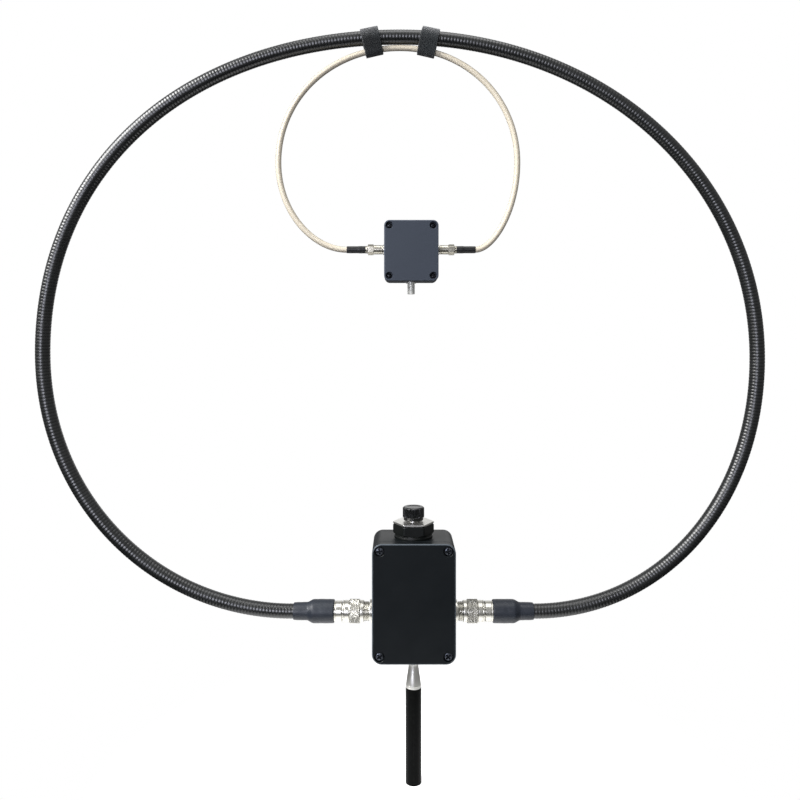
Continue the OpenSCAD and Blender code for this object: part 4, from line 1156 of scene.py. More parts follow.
@dataclass
class Enclosure:
    """Moulded two-part box whose lid is held by four recessed corner screws."""

    name: str
    finish: Finish
    screw_finish: Finish
    corner_r: float
    wall: float
    screw_inset: float
    pillar_r: float
    recess_r: float
    recess: float
    head_r: float
    head_h: float
    thread_r: float
    thread_len: float
    holes: list[Rod]
    bosses: list[Rod] = field(default_factory=list)
    screw_turns: Sequence[float] = (0.35, 0.97, 1.59, 2.21)
    edge_r: float = 0.8
    edge_steps: int = 7
    edge_guard: float = 0.25
    face_margin: float = 1.5
    recess_chamfer: float = 0.3
    overcut: float = 0.5
    parting: float = 0.35
    seal_w: float = 1.0
    seal_t: float = 1.2
    fit_gap: float = 0.05
    least_corner_r: float = 0.4
    corner_steps: int = 8
    recess_segments: int = 56
    screw_segments: int = 36
    pitch_share: float = 0.55
    pitch_steps: int = 5
    tip_share: float = 0.35
    head_foot: tuple[float, float] = (0.15, 0.12)
    head_dome: Sequence[Place] = ((0.5, 1.0), (0.72, 0.93), (0.88, 0.76), (0.97, 0.5), (1.0, 0.22))
    head_slot: Sequence[Place] = ((1.2, 0.78, 0.27), (0.12, 0.5, 0.05))

    def __post_init__(self) -> None:
        """Measures the box on its nodes."""
        case_low, case_high = span(f"{self.name}_case")
        lid_low, lid_high = span(f"{self.name}_lid")
        self.half_w, _, self.half_h = (case_high - case_low) / 2
        self.middle = (case_low + case_high) / 2
        self.front, self.split, self.back = lid_low[1], lid_high[1], case_high[1]
        self.seat = self.front + self.recess
        self.hole_r = self.thread_r + self.fit_gap

    def build(self) -> None:
        """Makes the case, the lid and the screws."""
        self.case()
        self.lid()
        self.screws()

    def outline(self, depth: float, inset: float) -> np.ndarray:
        """Draws the box's rounded outline.

        Args:
            depth: Place front to back.
            inset: Distance inside the outer walls.

        Returns:
            One ring of points.
        """
        r = max(self.corner_r - inset, self.least_corner_r)
        points = []
        for turn, (x, z) in enumerate(((1, 1), (-1, 1), (-1, -1), (1, -1))):
            centre_x, centre_z = x * (self.half_w - inset - r), z * (self.half_h - inset - r)
            for step in range(self.corner_steps + 1):
                angle = (turn + step / self.corner_steps) * TURN / 4
                points.append((centre_x + r * math.cos(angle), depth, centre_z + r * math.sin(angle)))
        return np.array(points) + self.middle * (1.0, 0.0, 1.0)

    def half(self, face: float, sealed: bool) -> Sculpt:
        """Makes one half of the box from its parting face to its outer face, with its edge marked.

        Args:
            face: Place of the outer face.
            sealed: Whether the rim holds the seal.

        Returns:
            A closed shell.
        """
        way = 1.0 if face > self.split else -1.0
        inner = face - way * self.wall
        stations = [(inner, self.wall + self.face_margin), (inner, self.wall), (self.split, self.wall)]
        if sealed:
            near = (self.wall + self.seal_w) / 2 + self.fit_gap
            far = (self.wall - self.seal_w) / 2 - self.fit_gap
            floor = self.split + way * self.seal_t
            stations += [(self.split, near), (floor, near), (floor, far), (self.split, far)]
        guard = self.edge_r + self.edge_guard
        stations += [(self.split, self.parting), (self.split + way * self.parting, 0.0)]
        stations.append((face - way * guard, 0.0))
        edge = []
        for angle in np.linspace(0, TURN / 4, self.edge_steps):
            rise, inset = self.edge_r * (1 - math.sin(angle)), self.edge_r * (1 - math.cos(angle))
            edge.append((face - way * rise, inset))
        # the rounded outer edge is marked; moulded cases paint their highlight there
        marks = np.array([0.0] * len(stations) + [1.0] * len(edge) + [0.0, 0.0])
        stations += [*edge, (face, guard), (face, self.edge_r + self.face_margin)]
        return Sculpt().skin(np.stack([self.outline(*station) for station in stations]), places=marks)

    def corners(self) -> list[tuple[float, float]]:
        """Gives X and Z of the four screws."""
        x, z = self.half_w - self.screw_inset, self.half_h - self.screw_inset
        return [(self.middle[0] + sx * x, self.middle[2] + sz * z) for sx in (-1, 1) for sz in (-1, 1)]

    def at_corners(self, profile: Profile, segments: int = 40) -> Sculpt:
        """Turns a profile on each screw's axis, front to back.

        Args:
            profile: Places front to back with their radii.
            segments: Points around each ring.

        Returns:
            Four solids.
        """
        sculpt = Sculpt()
        for x, z in self.corners():
            sculpt.skin(placed(turned(profile, segments), (x, 0.0, z), BACKWARD))
        return sculpt

    def case(self) -> None:
        """Makes the deep half, with pillars, bosses and socket holes."""
        deep = self.back - self.wall / 2
        pillars = self.at_corners([(self.split, self.pillar_r), (deep, self.pillar_r)])
        for boss in self.bosses:
            pillars.skin(boss.rings())
        end = self.seat + self.thread_len
        tools = self.at_corners([(self.split - 2 * self.overcut, self.hole_r), (end, self.hole_r)])
        for hole in self.holes:
            tools.skin(hole.rings())
        shell = carved(self.half(self.back, sealed=False).mesh(), pillars.mesh(), Cut.JOIN)
        shell = carved(shell, tools.mesh(), Cut.AWAY)
        dress(f"{self.name}_case", outward(shell, WELD), self.finish)

    def lid(self) -> None:
        """Makes the front half, with a seal groove and chamfered screw recesses."""
        start = self.front + self.wall / 2
        pillars = self.at_corners([(start, self.pillar_r), (self.split, self.pillar_r)])
        recess = [
            (self.front - self.overcut, self.recess_r + self.recess_chamfer + self.overcut),
            (self.front + self.recess_chamfer, self.recess_r),
            (self.seat, self.recess_r),
            (self.seat, self.hole_r),
            (self.split + 2 * self.overcut, self.hole_r),
        ]
        shell = carved(self.half(self.front, sealed=True).mesh(), pillars.mesh(), Cut.JOIN)
        shell = carved(shell, self.at_corners(recess, self.recess_segments).mesh(), Cut.AWAY)
        dress(f"{self.name}_lid", outward(shell, WELD), self.finish)

    def screws(self) -> None:
        """Makes the four cross-head screws, each stopped at a turn of its own."""
        r, tip = self.thread_r, -self.thread_len
        pitch = r * self.pitch_share
        foot, inset = self.head_foot
        shank = [(tip, r * self.tip_share), (tip + r, r), (0.0, r)]
        head = [(0.0, self.head_r - inset), (foot, self.head_r)]
        head += [(self.head_h * up, self.head_r * wide) for up, wide in self.head_dome]
        profile = divided(shank, tip, 0.0, 0.0, pitch / self.pitch_steps)[:-1] + shank[2:] + head
        limit = threaded(r, pitch / 2, pitch, tip + r, -pitch)
        screw = Sculpt().skin(turned(profile, self.screw_segments, limit)).mesh()
        for axis in (0, 1):
            screw = carved(screw, self.slot(axis).mesh(), Cut.AWAY)
        places = []
        for (x, z), turn in zip(self.corners(), self.screw_turns):
            spot = Matrix.Translation(np.array((x, self.seat, z)) * MM)
            places.append(spot @ Matrix.Rotation(TURN / 4, 4, "X") @ Matrix.Rotation(turn, 4, "Z"))
        dress(f"{self.name}_lid_screws", repeated(screw, places), self.screw_finish)

    def slot(self, axis: int) -> Sculpt:
        """Makes the wedge that cuts one arm of the cross.

        Args:
            axis: Direction of the arm, 0 for X and 1 for Y.

        Returns:
            The wedge.
        """
        rings = []
        for height, long, thin in self.head_slot:
            sizes = (self.head_r * long, self.head_r * thin)
            x, y = sizes[axis], sizes[1 - axis]
            z = self.head_h * height
            rings.append([(x, y, z), (-x, y, z), (-x, -y, z), (x, -y, z)])
        return Sculpt().skin(np.array(rings))


@dataclass
class TuningStack:
    """Round base, hexagon nut, bright hexagon washer and knob on top of the tuning box."""

    bush_r: float = 5.05
    bush_chamfer: float = 0.3
    base_foot: float = 1.7
    base_slope: float = 0.2
    base_step: float = 0.5
    flats_share: float = 0.985
    chamfer_steps: int = 6
    nut_chamfer: float = 1.4
    washer_chamfer: float = 0.3
    knob_foot_r: float = 8.2
    knob_foot_h: float = 2.5
    knob_bore_r: float = 3.05
    knob_bore: float = 8.0
    knob_teeth: int = 44
    knob_groove: float = 0.42
    knob_chamfer: float = 1.0
    knob_dish: float = 0.35
    knob_shares: tuple[float, float, float] = (0.62, 0.56, 0.2)
    groove_lead: float = 0.35
    groove_run: float = 0.45
    knurl_step: float = 0.6
    tooth_steps: int = 8
    edge: float = 0.3
    base_segments: int = 96
    hexagon_segments: int = 144

    def build(self) -> None:
        """Makes the four pieces from the box upward."""
        self.base()
        self.hexagon_piece("gland_nut", self.nut_chamfer, GLAND_BLACK)
        self.hexagon_piece("gland_washer", self.washer_chamfer, FERRULE_NICKEL)
        self.knob()

    def base(self) -> None:
        """Makes the round base with a stepped edge."""
        (_, _, z), (r, _, top) = span("gland_base")
        upper_r, step = r - self.base_step, z + self.base_foot
        corners = [(z, self.bush_r), (z, r), (step, r), (step + self.base_slope, upper_r)]
        corners += [(top, upper_r), (top, self.bush_r)]
        lathe("gland_base", turned(eased(corners, self.edge), self.base_segments), GLAND_BLACK)

    def hexagon_piece(self, node: str, height: float, finish: Finish) -> None:
        """Makes a bored hexagon with turned chamfers at both ends.

        Args:
            node: Node to stand for.
            height: Height of the chamfers at the corners.
            finish: Finish of the piece.
        """
        (_, front, bottom), (_, back, top) = span(node)
        rise = chamfer(back - front, self.flats_share, height, np.linspace(0, 1, self.chamfer_steps))
        profile = [
            (bottom, self.bush_r),
            *((bottom + up, r) for up, r in rise),
            *((top - up, r) for up, r in rise[::-1]),
            (top, self.bush_r + self.bush_chamfer),
            (top - self.bush_chamfer, self.bush_r),
        ]
        lathe(node, turned(profile, self.hexagon_segments, hexagon(back - front)), finish)

    def knob(self) -> None:
        """Makes the knurled knob, dished on top and bored from below."""
        (_, _, bottom), (r, _, top) = span("tuning_knob")
        foot_top = bottom + self.knob_foot_h
        band_top = top - self.knob_chamfer
        rim_r, dish_r, hub_r = (r * share for share in self.knob_shares)
        corners = [
            (bottom + self.knob_bore, self.knob_bore_r),
            (bottom, self.knob_bore_r),
            (bottom, self.knob_foot_r),
            (foot_top, self.knob_foot_r),
            (foot_top, r),
            (band_top, r),
            (top, r - self.knob_chamfer),
            (top, rim_r),
            (top - self.knob_dish, dish_r),
            (top - self.knob_dish, hub_r),
        ]
        rounded = eased(corners, self.edge, closed=False)
        profile = divided(rounded, foot_top, band_top, r - KNURL_GUARD, self.knurl_step)
        low, high = foot_top + self.groove_lead, band_top + self.groove_run
        limit = knurled(r, self.knob_groove, self.knob_teeth, 0.0, low, high)
        rings = turned(profile, self.knob_teeth * self.tooth_steps, limit)
        lathe("tuning_knob", rings, KNOB_BLACK, closed=False)


@dataclass
class TurnedSet:
    """Pieces turned about one axis, which are measured from the middle of a box."""

    box: str
    axis: Place
    guide: str

    def __post_init__(self) -> None:
        """Starts the axis in the box's middle, in line with the guiding node."""
        along = np.abs(self.axis)
        self.origin = (centre(self.box) * along + centre(self.guide) * (1 - along)) * (1.0, 0.0, 1.0)

    def reach(self, node: str) -> tuple[float, float]:
        """Gives a node's nearest and furthest place along the axis."""
        near, far = sorted(abs(float((corner - centre(self.box)) @ self.axis)) for corner in span(node))
        return near, far

    def make(self, node: str, rings: np.ndarray, finish: Finish, closed: bool = True) -> None:
        """Puts a turned piece on the axis in the place of a node."""
        lathe(node, placed(rings, self.origin, self.axis), finish, closed)


@dataclass
class ScrewSocket(TurnedSet):
    """A small screw socket of the coupling box, with its flange, run-out groove and thread."""

    finish: Finish = NICKEL
    tail: float = 6.2
    thread_r: float = 3.175
    pitch: float = 0.7
    thread_depth: float = 0.32
    flange_r: float = 4.2
    flange_t: float = 1.3
    bore_r: float = 2.1
    relief: float = 0.3
    relief_w: float = 0.5
    relief_slope: float = 0.2
    end_len: float = 0.5
    end_drop: float = 0.45
    edge: float = 0.2
    pitch_steps: int = 7
    segments: int = 48

    def build(self) -> None:
        """Makes the socket from its inner end outward."""
        start, end = self.reach(self.guide)
        thread, flange, bore = self.thread_r, self.flange_r, self.bore_r
        wall = start + self.tail
        face = wall + self.flange_t
        first = face + self.relief_w
        root = thread - self.relief
        corners = [
            (start, bore), (start, thread), (wall, thread), (wall, flange), (face, flange), (face, root),
            (first, root), (first + self.relief_slope, thread), (end - self.end_len, thread),
            (end, thread - self.end_drop), (end, bore),
        ]
        step = self.pitch / self.pitch_steps
        profile = divided(eased(corners, self.edge), first, end, thread - self.edge, step)
        limit = threaded(thread, self.thread_depth, self.pitch, first, math.inf)
        self.make(self.guide, turned(profile, self.segments, limit), self.finish)


@dataclass
class LoopSocket(ScrewSocket):
    """A large screw socket on one side of the tuning box."""

    tail: float = 8.5
    thread_r: float = 7.95
    pitch: float = 1.06
    thread_depth: float = 0.5
    flange_r: float = 9.5
    flange_t: float = 2.5
    bore_r: float = 6.15
    relief: float = 0.6
    relief_w: float = 0.9
    relief_slope: float = 0.5
    end_len: float = 0.7
    end_drop: float = 0.7
    edge: float = 0.3
    pitch_steps: int = 8
    segments: int = 72


@dataclass
class LoopPlug(TurnedSet):
    """One plug of the main loop, with its knurled coupling nut and its shrink sleeve."""

    word: str
    thread_r: float = 7.95
    socket_r: float = 6.15
    run_gap: float = 0.08
    face_gap: float = 0.3
    collar: float = 3.5
    collar_r: float = 8.8
    band: float = 8.5
    band_r: float = 9.75
    lip: float = 2.5
    knurl_teeth: int = 54
    knurl_depth: float = 0.42
    knurl_step: float = 0.22
    tooth_steps: int = 6
    nut_groove: float = 0.35
    nut_groove_back: float = 1.6
    groove_slope: float = 0.2
    groove_floor: float = 0.3
    plug_bore_r: float = 4.4
    shoulder_r: float = 7.6
    neck_r: float = 6.4
    ring_r: float = 8.4
    ring_gap: float = 0.8
    ring_len: float = 6.5
    ring_groove: float = 0.3
    ring_groove_back: float = 1.5
    barrel_r: float = 7.6
    tube_r: float = 6.15
    sleeve_r: float = 9.75
    sleeve_narrow_r: float = 7.2
    sleeve_wide: float = 18.5
    sleeve_taper: float = 4.0
    sleeve_swell: float = 0.15
    sleeve_sag: float = 0.1
    sleeve_lead: float = 0.6
    sleeve_settle: float = 0.4
    sleeve_tail: float = 3.0
    sleeve_thin: float = 0.25
    sleeve_edge: float = 1.1
    sleeve_step: float = 0.9
    lining: float = 0.05
    dent: float = 0.05
    dent_waves: Sequence[tuple[int, float]] = ((3, 0.5), (5, -0.9))
    edge: float = 0.3
    segments: int = 96
    sleeve_segments: int = 72

    def build(self) -> None:
        """Makes the plug, its nut and its sleeve."""
        self.plug()
        self.nut()
        self.sleeve()

    def plug(self) -> None:
        """Makes the plug's body: nose, shoulder, neck, grooved ring and barrel."""
        nose, barrel_end = self.reach(f"plug_{self.word}")
        nose_end = self.reach(self.guide)[1] + self.face_gap
        nut_end = self.reach(f"coupling_nut_{self.word}")[1]
        nose_r, bore = self.socket_r - self.run_gap, self.plug_bore_r
        shoulder_end = nut_end - self.lip - self.face_gap
        ring_start = nut_end + self.ring_gap
        ring_end = ring_start + self.ring_len
        corners = [
            (nose, bore), (nose, nose_r), (nose_end, nose_r), (nose_end, self.shoulder_r),
            (shoulder_end, self.shoulder_r), (shoulder_end, self.neck_r), (ring_start, self.neck_r),
            (ring_start, self.ring_r),
            *groove(
                ring_end - self.ring_groove_back, self.ring_r, self.ring_groove,
                self.groove_slope, self.groove_floor,
            ),
            (ring_end, self.ring_r), (ring_end, self.barrel_r), (barrel_end, self.barrel_r),
            (barrel_end, self.tube_r), (ring_end, self.tube_r), (ring_end, bore),
        ]
        self.make(f"plug_{self.word}", turned(eased(corners, self.edge), self.segments), NICKEL)

    def nut(self) -> None:
        """Makes the coupling nut, with plain grooved collars on both sides of its knurled band."""
        start, end = self.reach(f"coupling_nut_{self.word}")
        first = start + self.collar
        last = first + self.band
        collar, band, low = self.collar_r, self.band_r, self.collar_r - self.nut_groove
        slope, floor = self.groove_slope, self.groove_floor
        thread, neck = self.thread_r + self.run_gap, self.neck_r + self.run_gap
        corners = [
            (start, thread), (start, collar), (first - floor - slope, collar), (first - floor, low),
            (first, low), (first, band), (last, band), (last, low), (last + floor, low),
            (last + floor + slope, collar),
            *groove(end - self.nut_groove_back, collar, self.nut_groove, slope, floor),
            (end, collar), (end, neck), (end - self.lip, neck), (end - self.lip, thread),
        ]
        profile = divided(eased(corners, self.edge), first, last, band - KNURL_GUARD, self.knurl_step)
        teeth = self.knurl_teeth
        slant = teeth / TURN / band
        limit = knurled(band, self.knurl_depth, teeth, slant, first + self.edge, last - self.edge)
        self.make(f"coupling_nut_{self.word}", turned(profile, teeth * self.tooth_steps, limit), NICKEL)

    def sleeve(self) -> None:
        """Makes the shrink sleeve, drawn in over the barrel's end and slightly uneven."""
        start, end = self.reach(f"sleeve_{self.word}")
        barrel_end = self.reach(f"plug_{self.word}")[1]
        wide_end = start + self.sleeve_wide
        taper_end = wide_end + self.sleeve_taper
        wide, narrow, swell = self.sleeve_r, self.sleeve_narrow_r, self.sleeve_swell
        inner = self.barrel_r + self.lining
        corners = [
            (start, inner), (start, wide - swell), (start + self.sleeve_wide / 2, wide),
            (wide_end - self.sleeve_lead, wide - self.sleeve_sag),
            (taper_end - self.sleeve_settle, narrow + swell), (end - self.sleeve_tail, narrow),
            (end, narrow - self.sleeve_thin), (end, self.tube_r), (barrel_end, self.tube_r),
            (barrel_end, inner),
        ]
        least_r = narrow - self.sleeve_settle
        profile = divided(eased(corners, self.sleeve_edge), start, end, least_r, self.sleeve_step)

        def settle(angle: np.ndarray, along: np.ndarray) -> np.ndarray:
            """Draws the sleeve in by a few hundredths where it shrank more."""
            waves = sum(np.sin(count * angle + rate * along) for count, rate in self.dent_waves)
            radii = [wide - self.dent, wide - self.dent, narrow + swell, narrow]
            return np.interp(along, [start, wide_end, taper_end, end], radii) + self.dent * waves

        self.make(f"sleeve_{self.word}", turned(profile, self.sleeve_segments, settle), SLEEVE_BLACK)


@dataclass(frozen=True)
class Bend:
    """Where one side of a loop reaches furthest out, and how full its quarters are from crown to foot."""

    x: float
    rise: float
    crown: float
    upper: float
    lower: float
    foot: float


@dataclass
class BentLoop:
    """A loop of something springy between two level ends, with heights measured from those."""

    crown: tuple[float, float]
    left: Bend
    right: Bend

    def route(self, level: float, ends: Sequence[float], feet: Sequence[float]) -> Route:
        """Draws the loop's path.

        Args:
            level: Height of both ends.
            ends: X of the left end and the right end.
            feet: X where each side starts to bend.

        Returns:
            The route from the left end to the right one.
        """
        crown = (self.crown[0], level + self.crown[1])
        halves = []
        for end, foot, bend in zip(ends, feet, (self.left, self.right)):
            widest = (bend.x, level + bend.rise)
            halves.append([
                np.array([(end, level), (foot, level)]),
                quarter((foot, level), widest, bend.foot, bend.lower),
                quarter(crown, widest, bend.crown, bend.upper)[::-1],
            ])
        left, right = halves
        return Route([*left, *(stretch[::-1] for stretch in reversed(right))])


@dataclass
class RibbedLoop(BentLoop):
    """The main loop's ribbed tube, from plug to plug."""

    crown: tuple[float, float] = (-11.3, 481.3)
    left: Bend = Bend(-311.0, 217.1, 0.588, 0.599, 0.577, 0.543)
    right: Bend = Bend(288.3, 212.2, 0.567, 0.563, 0.582, 0.558)
    lead: float = 1.0
    tube_r: float = 6.1
    bore_r: float = 4.6
    rib_depth: float = 0.14
    rib_pitch: float = 2.7
    rib_shape: Sequence[float] = (0.0, 0.09, 0.21, 0.5, 0.79, 0.91)
    rib_squareness: int = 6
    sides: int = 22

    def build(self) -> None:
        """Makes the tube with its full count of ribs."""
        (left_foot, _, _), (left_end, _, _) = span("sleeve_left")
        (right_end, _, _), (right_foot, _, _) = span("sleeve_right")
        feet = (left_foot - self.lead, right_foot + self.lead)
        route = self.route(centre("jack_left")[2], (left_end, right_end), feet)
        ribs = round(route.length / self.rib_pitch)
        count = np.append((np.arange(ribs)[:, None] + self.rib_shape).ravel(), ribs)
        dip = np.abs(np.cos(np.pi * count)) ** self.rib_squareness
        inner = np.linspace(ribs, 0, ribs // 2)
        rib_length = route.length / ribs
        rings = np.concatenate([
            route.rings(count * rib_length, self.tube_r - self.rib_depth * dip, self.sides),
            route.rings(inner * rib_length, self.bore_r, self.sides),
        ])
        sculpt = Sculpt().skin(rings, closed=True, places=np.concatenate([count, inner]))
        dress("main_loop_jacket", sculpt.mesh(), TUBE_JACKET, even=False)


@dataclass
class CouplingLoop(BentLoop):
    """The light coupling cable under the crown, with its boots and straps."""

    crown: tuple[float, float] = (-11.3, 169.2)
    left: Bend = Bend(-113.3, 73.2, 0.575, 0.56, 0.56, 0.5)
    right: Bend = Bend(87.1, 73.2, 0.575, 0.56, 0.56, 0.42)
    cable_r: float = 2.475
    cable_fit: float = 0.4
    cable_rings: int = 420
    cable_sides: int = 24
    boot_gap: float = 0.05
    boot_r: float = 3.1
    boot_edge: float = 0.5
    boot_step: float = 0.8
    boot_least: float = 0.3
    boot_segments: int = 40
    bulges: Sequence[Place] = ((0.0, 0.1), (0.3, 0.0), (0.42, 0.18), (0.8, 0.14), (1.0, 0.22))
    tube_r: float = 6.1
    strap_w: float = 15.0
    strap_t: float = 0.72
    strap_gap: float = 0.7
    strap_wall: float = 2.1
    strap_lean: float = math.radians(13)
    strap_place: float = 24.6
    strap_turns: float = 1.88
    strap_start: float = math.radians(-25)
    strap_steps: int = 190
    strap_ease: float = 0.28
    strap_trim: float = 0.985
    strap_waver: float = 0.18
    waver_rate: float = 9.0
    strap_creep: float = 0.35
    creep_middle: float = 0.9
    bridge_steps: int = 7

    def build(self) -> None:
        """Makes the cable, both boots and both straps."""
        self.cable()
        for side in Side:
            self.boot(side)
            self.strap(side)

    def cable(self) -> None:
        """Makes the cable, from boot to boot and through both."""
        (left_foot, _, _), (left_end, _, _) = span("boot_left")
        (right_end, _, _), (right_foot, _, _) = span("boot_right")
        route = self.route(centre("boot_left")[2], (left_end, right_end), (left_foot, right_foot))
        places = np.linspace(0, route.length, self.cable_rings)
        sculpt = Sculpt().skin(route.rings(places, self.cable_r, self.cable_sides), places=places)
        dress("coupling_cable", sculpt.mesh(), CABLE_BRAID, even=False)

    def boot(self, side: Side) -> None:
        """Makes the boot that grips the cable behind its plug.

        Args:
            side: Side of the boot.
        """
        node = f"boot_{side.word}"
        holder = TurnedSet("coupler_case", side.axis, node)
        near, far = holder.reach(node)
        inner = self.cable_r + self.boot_gap
        waves = [(near + (far - near) * along, self.boot_r - drop) for along, drop in self.bulges]
        rounded = eased([(near, inner), *waves, (far, inner)], self.boot_edge)
        profile = divided(rounded, near, far, self.boot_r - self.boot_least, self.boot_step)
        holder.make(node, turned(profile, self.boot_segments), BOOT_BLACK)

    def wrap(self, drop: float) -> list[tuple[np.ndarray, np.ndarray, float]]:
        """Winds a tape around the tube and the cable below it.

        Args:
            drop: Distance from the tube's axis to the cable's.

        Returns:
            Points of the tape's middle as Y and Z, each with its outward direction and the turns so far.
        """
        tube_r = self.tube_r + self.strap_gap
        cable_r = self.cable_r + self.cable_fit
        steps = []
        upper_before: bool | None = None
        for done in np.linspace(0, self.strap_turns, self.strap_steps):
            angle = self.strap_start + done * TURN
            way = np.array((math.cos(angle), math.sin(angle)))
            layer = self.strap_t * (0.5 + done)
            upper = math.sin(angle) > (cable_r - tube_r) / drop
            round_tube = way * (tube_r + layer)
            round_cable = way * (cable_r + layer) + np.array((0.0, -drop))
            here, other = (round_tube, round_cable) if upper else (round_cable, round_tube)
            if upper_before is not None and upper != upper_before:
                for share in np.arange(self.bridge_steps) / self.bridge_steps:
                    steps.append((other + (here - other) * share, way, done))
            steps.append((here, way, done))
            upper_before = upper
        return steps

    def clear_of_tube(self, spot: np.ndarray, depth: float) -> np.ndarray:
        """Presses the tape flatter where the leaning strap would cut into the tube.

        Args:
            spot: Point of the tape, measured from the axis that the strap swings on.
            depth: Depth of tape under the point.

        Returns:
            The point, outside the room that the tube needs.
        """
        room = self.tube_r + self.strap_gap
        pack = self.strap_t * (self.strap_turns + 1)
        reach = math.hypot(spot[1], spot[2])
        inner = reach - depth
        if inner >= room:
            return spot
        pressed = room + depth * (inner + pack - room) / pack
        return spot * (1.0, pressed / reach, pressed / reach)

    def strap(self, side: Side) -> None:
        """Makes a strap: one tape wound almost twice around tube and cable, leaning inward.

        Args:
            side: Side of the strap.
        """
        node = f"strap_{side.word}"
        swing = next(joint for joint in frame["joints"] if joint["name"] == "coupler_swing")
        swing_z = swing["pos_m"][2] / MM
        half_w, half_t, ease = self.strap_w / 2, self.strap_t / 2, self.strap_ease
        reach = (self.cable_r + self.cable_fit + self.strap_wall) * math.cos(self.strap_lean)
        spare = half_w * math.sin(self.strap_lean)
        drop = (swing_z - span(node)[0][2] - reach - spare) / math.cos(self.strap_lean)
        lean = side.value * self.strap_lean
        width_way = np.array((math.cos(lean), 0.0, -math.sin(lean)))
        rise_way = np.array((math.sin(lean), 0.0, math.cos(lean)))
        quarter_section = [(half_w, half_t - ease), (half_w - ease, half_t)]
        upper = quarter_section + [(-across, thick) for across, thick in quarter_section[::-1]]
        section = upper + [(-across, -thick) for across, thick in upper]
        rings = []
        for point, way, done in self.wrap(drop):
            drift = self.strap_waver * math.sin(done * self.waver_rate)
            drift += self.strap_creep * (done - self.creep_middle)
            ring = []
            for across, thick in section:
                y, z = point + way * thick
                width = min(max(across * self.strap_trim + drift, -half_w), half_w)
                spot = width_way * width + np.array(BACKWARD) * y + rise_way * z
                ring.append(self.clear_of_tube(spot, self.strap_t * done + thick + half_t))
            rings.append(ring)
        origin = np.array((self.crown[0] + side.value * self.strap_place, 0.0, swing_z))
        dress(node, Sculpt().skin(np.array(rings) + origin).mesh(), STRAP_PILE)


@dataclass
class SmallPlug(TurnedSet):
    """A small plug on the coupling cable, with its hexagon coupling nut."""

    word: str
    bore_r: float = 0.6
    shoulder_r: float = 2.8
    neck_r: float = 2.2
    barrel_r: float = 3.2
    barrel_len: float = 1.6
    barrel_groove: float = 0.25
    barrel_groove_lead: float = 0.7
    groove_slope: float = 0.15
    groove_floor: float = 0.2
    thread_r: float = 3.255
    skirt_len: float = 7.3
    skirt_r: float = 3.85
    skirt_edge: float = 0.2
    skirt_groove: float = 0.15
    skirt_groove_lead: float = 1.1
    waist_slope: tuple[float, float] = (0.35, 0.25)
    hexagon_share: float = 0.97
    hexagon_chamfer: float = 0.45
    chamfer_steps: Sequence[float] = (0.0, 0.2, 0.5, 1.0)
    lip: float = 1.2
    run_gap: float = 0.08
    face_gap: float = 0.3
    edge: float = 0.2
    segments: int = 48
    nut_segments: int = 96

    def build(self) -> None:
        """Makes the plug and its nut."""
        self.plug()
        self.nut()

    def plug(self) -> None:
        """Makes the plug's body, with a groove around its short barrel."""
        start, end = self.reach(self.guide)
        nut_end = self.reach(f"coupler_nut_{self.word}")[1]
        barrel = end - self.barrel_len
        shoulder_end = nut_end - self.lip - self.face_gap
        corners = [
            (start, self.bore_r), (start, self.shoulder_r), (shoulder_end, self.shoulder_r),
            (shoulder_end, self.neck_r), (barrel, self.neck_r), (barrel, self.barrel_r),
            *groove(
                barrel + self.barrel_groove_lead, self.barrel_r, self.barrel_groove,
                self.groove_slope, self.groove_floor,
            ),
            (end, self.barrel_r), (end, self.bore_r),
        ]
        rings = turned(eased(corners, self.edge, closed=False), self.segments)
        self.make(self.guide, rings, PLUG_NICKEL, closed=False)

    def nut(self) -> None:
        """Makes the coupling nut: a grooved round skirt, then a chamfered hexagon at its back."""
        node = f"coupler_nut_{self.word}"
        start, end = self.reach(node)
        flats = span(node)[1][1] - span(node)[0][1]
        rise = chamfer(flats, self.hexagon_share, self.hexagon_chamfer, self.chamfer_steps)
        back = start + self.skirt_len
        skirt, waist, lip_r = self.skirt_r, self.skirt_r - self.skirt_edge, self.neck_r + self.run_gap
        slope_start, slope_end = (back - lead for lead in self.waist_slope)
        profile = [
            (start, self.thread_r), (start, waist), (start + self.skirt_edge, skirt),
            *groove(
                start + self.skirt_groove_lead, skirt, self.skirt_groove,
                self.groove_slope, self.groove_floor,
            ),
            (slope_start, skirt), (slope_end, waist), (back, waist),
            *((back + up, r) for up, r in rise),
            *((end - up, r) for up, r in rise[::-1]),
            (end, lip_r), (end - self.lip, lip_r), (end - self.lip, self.thread_r),
        ]
        self.make(node, turned(profile, self.nut_segments, hexagon(flats)), PLUG_NICKEL)


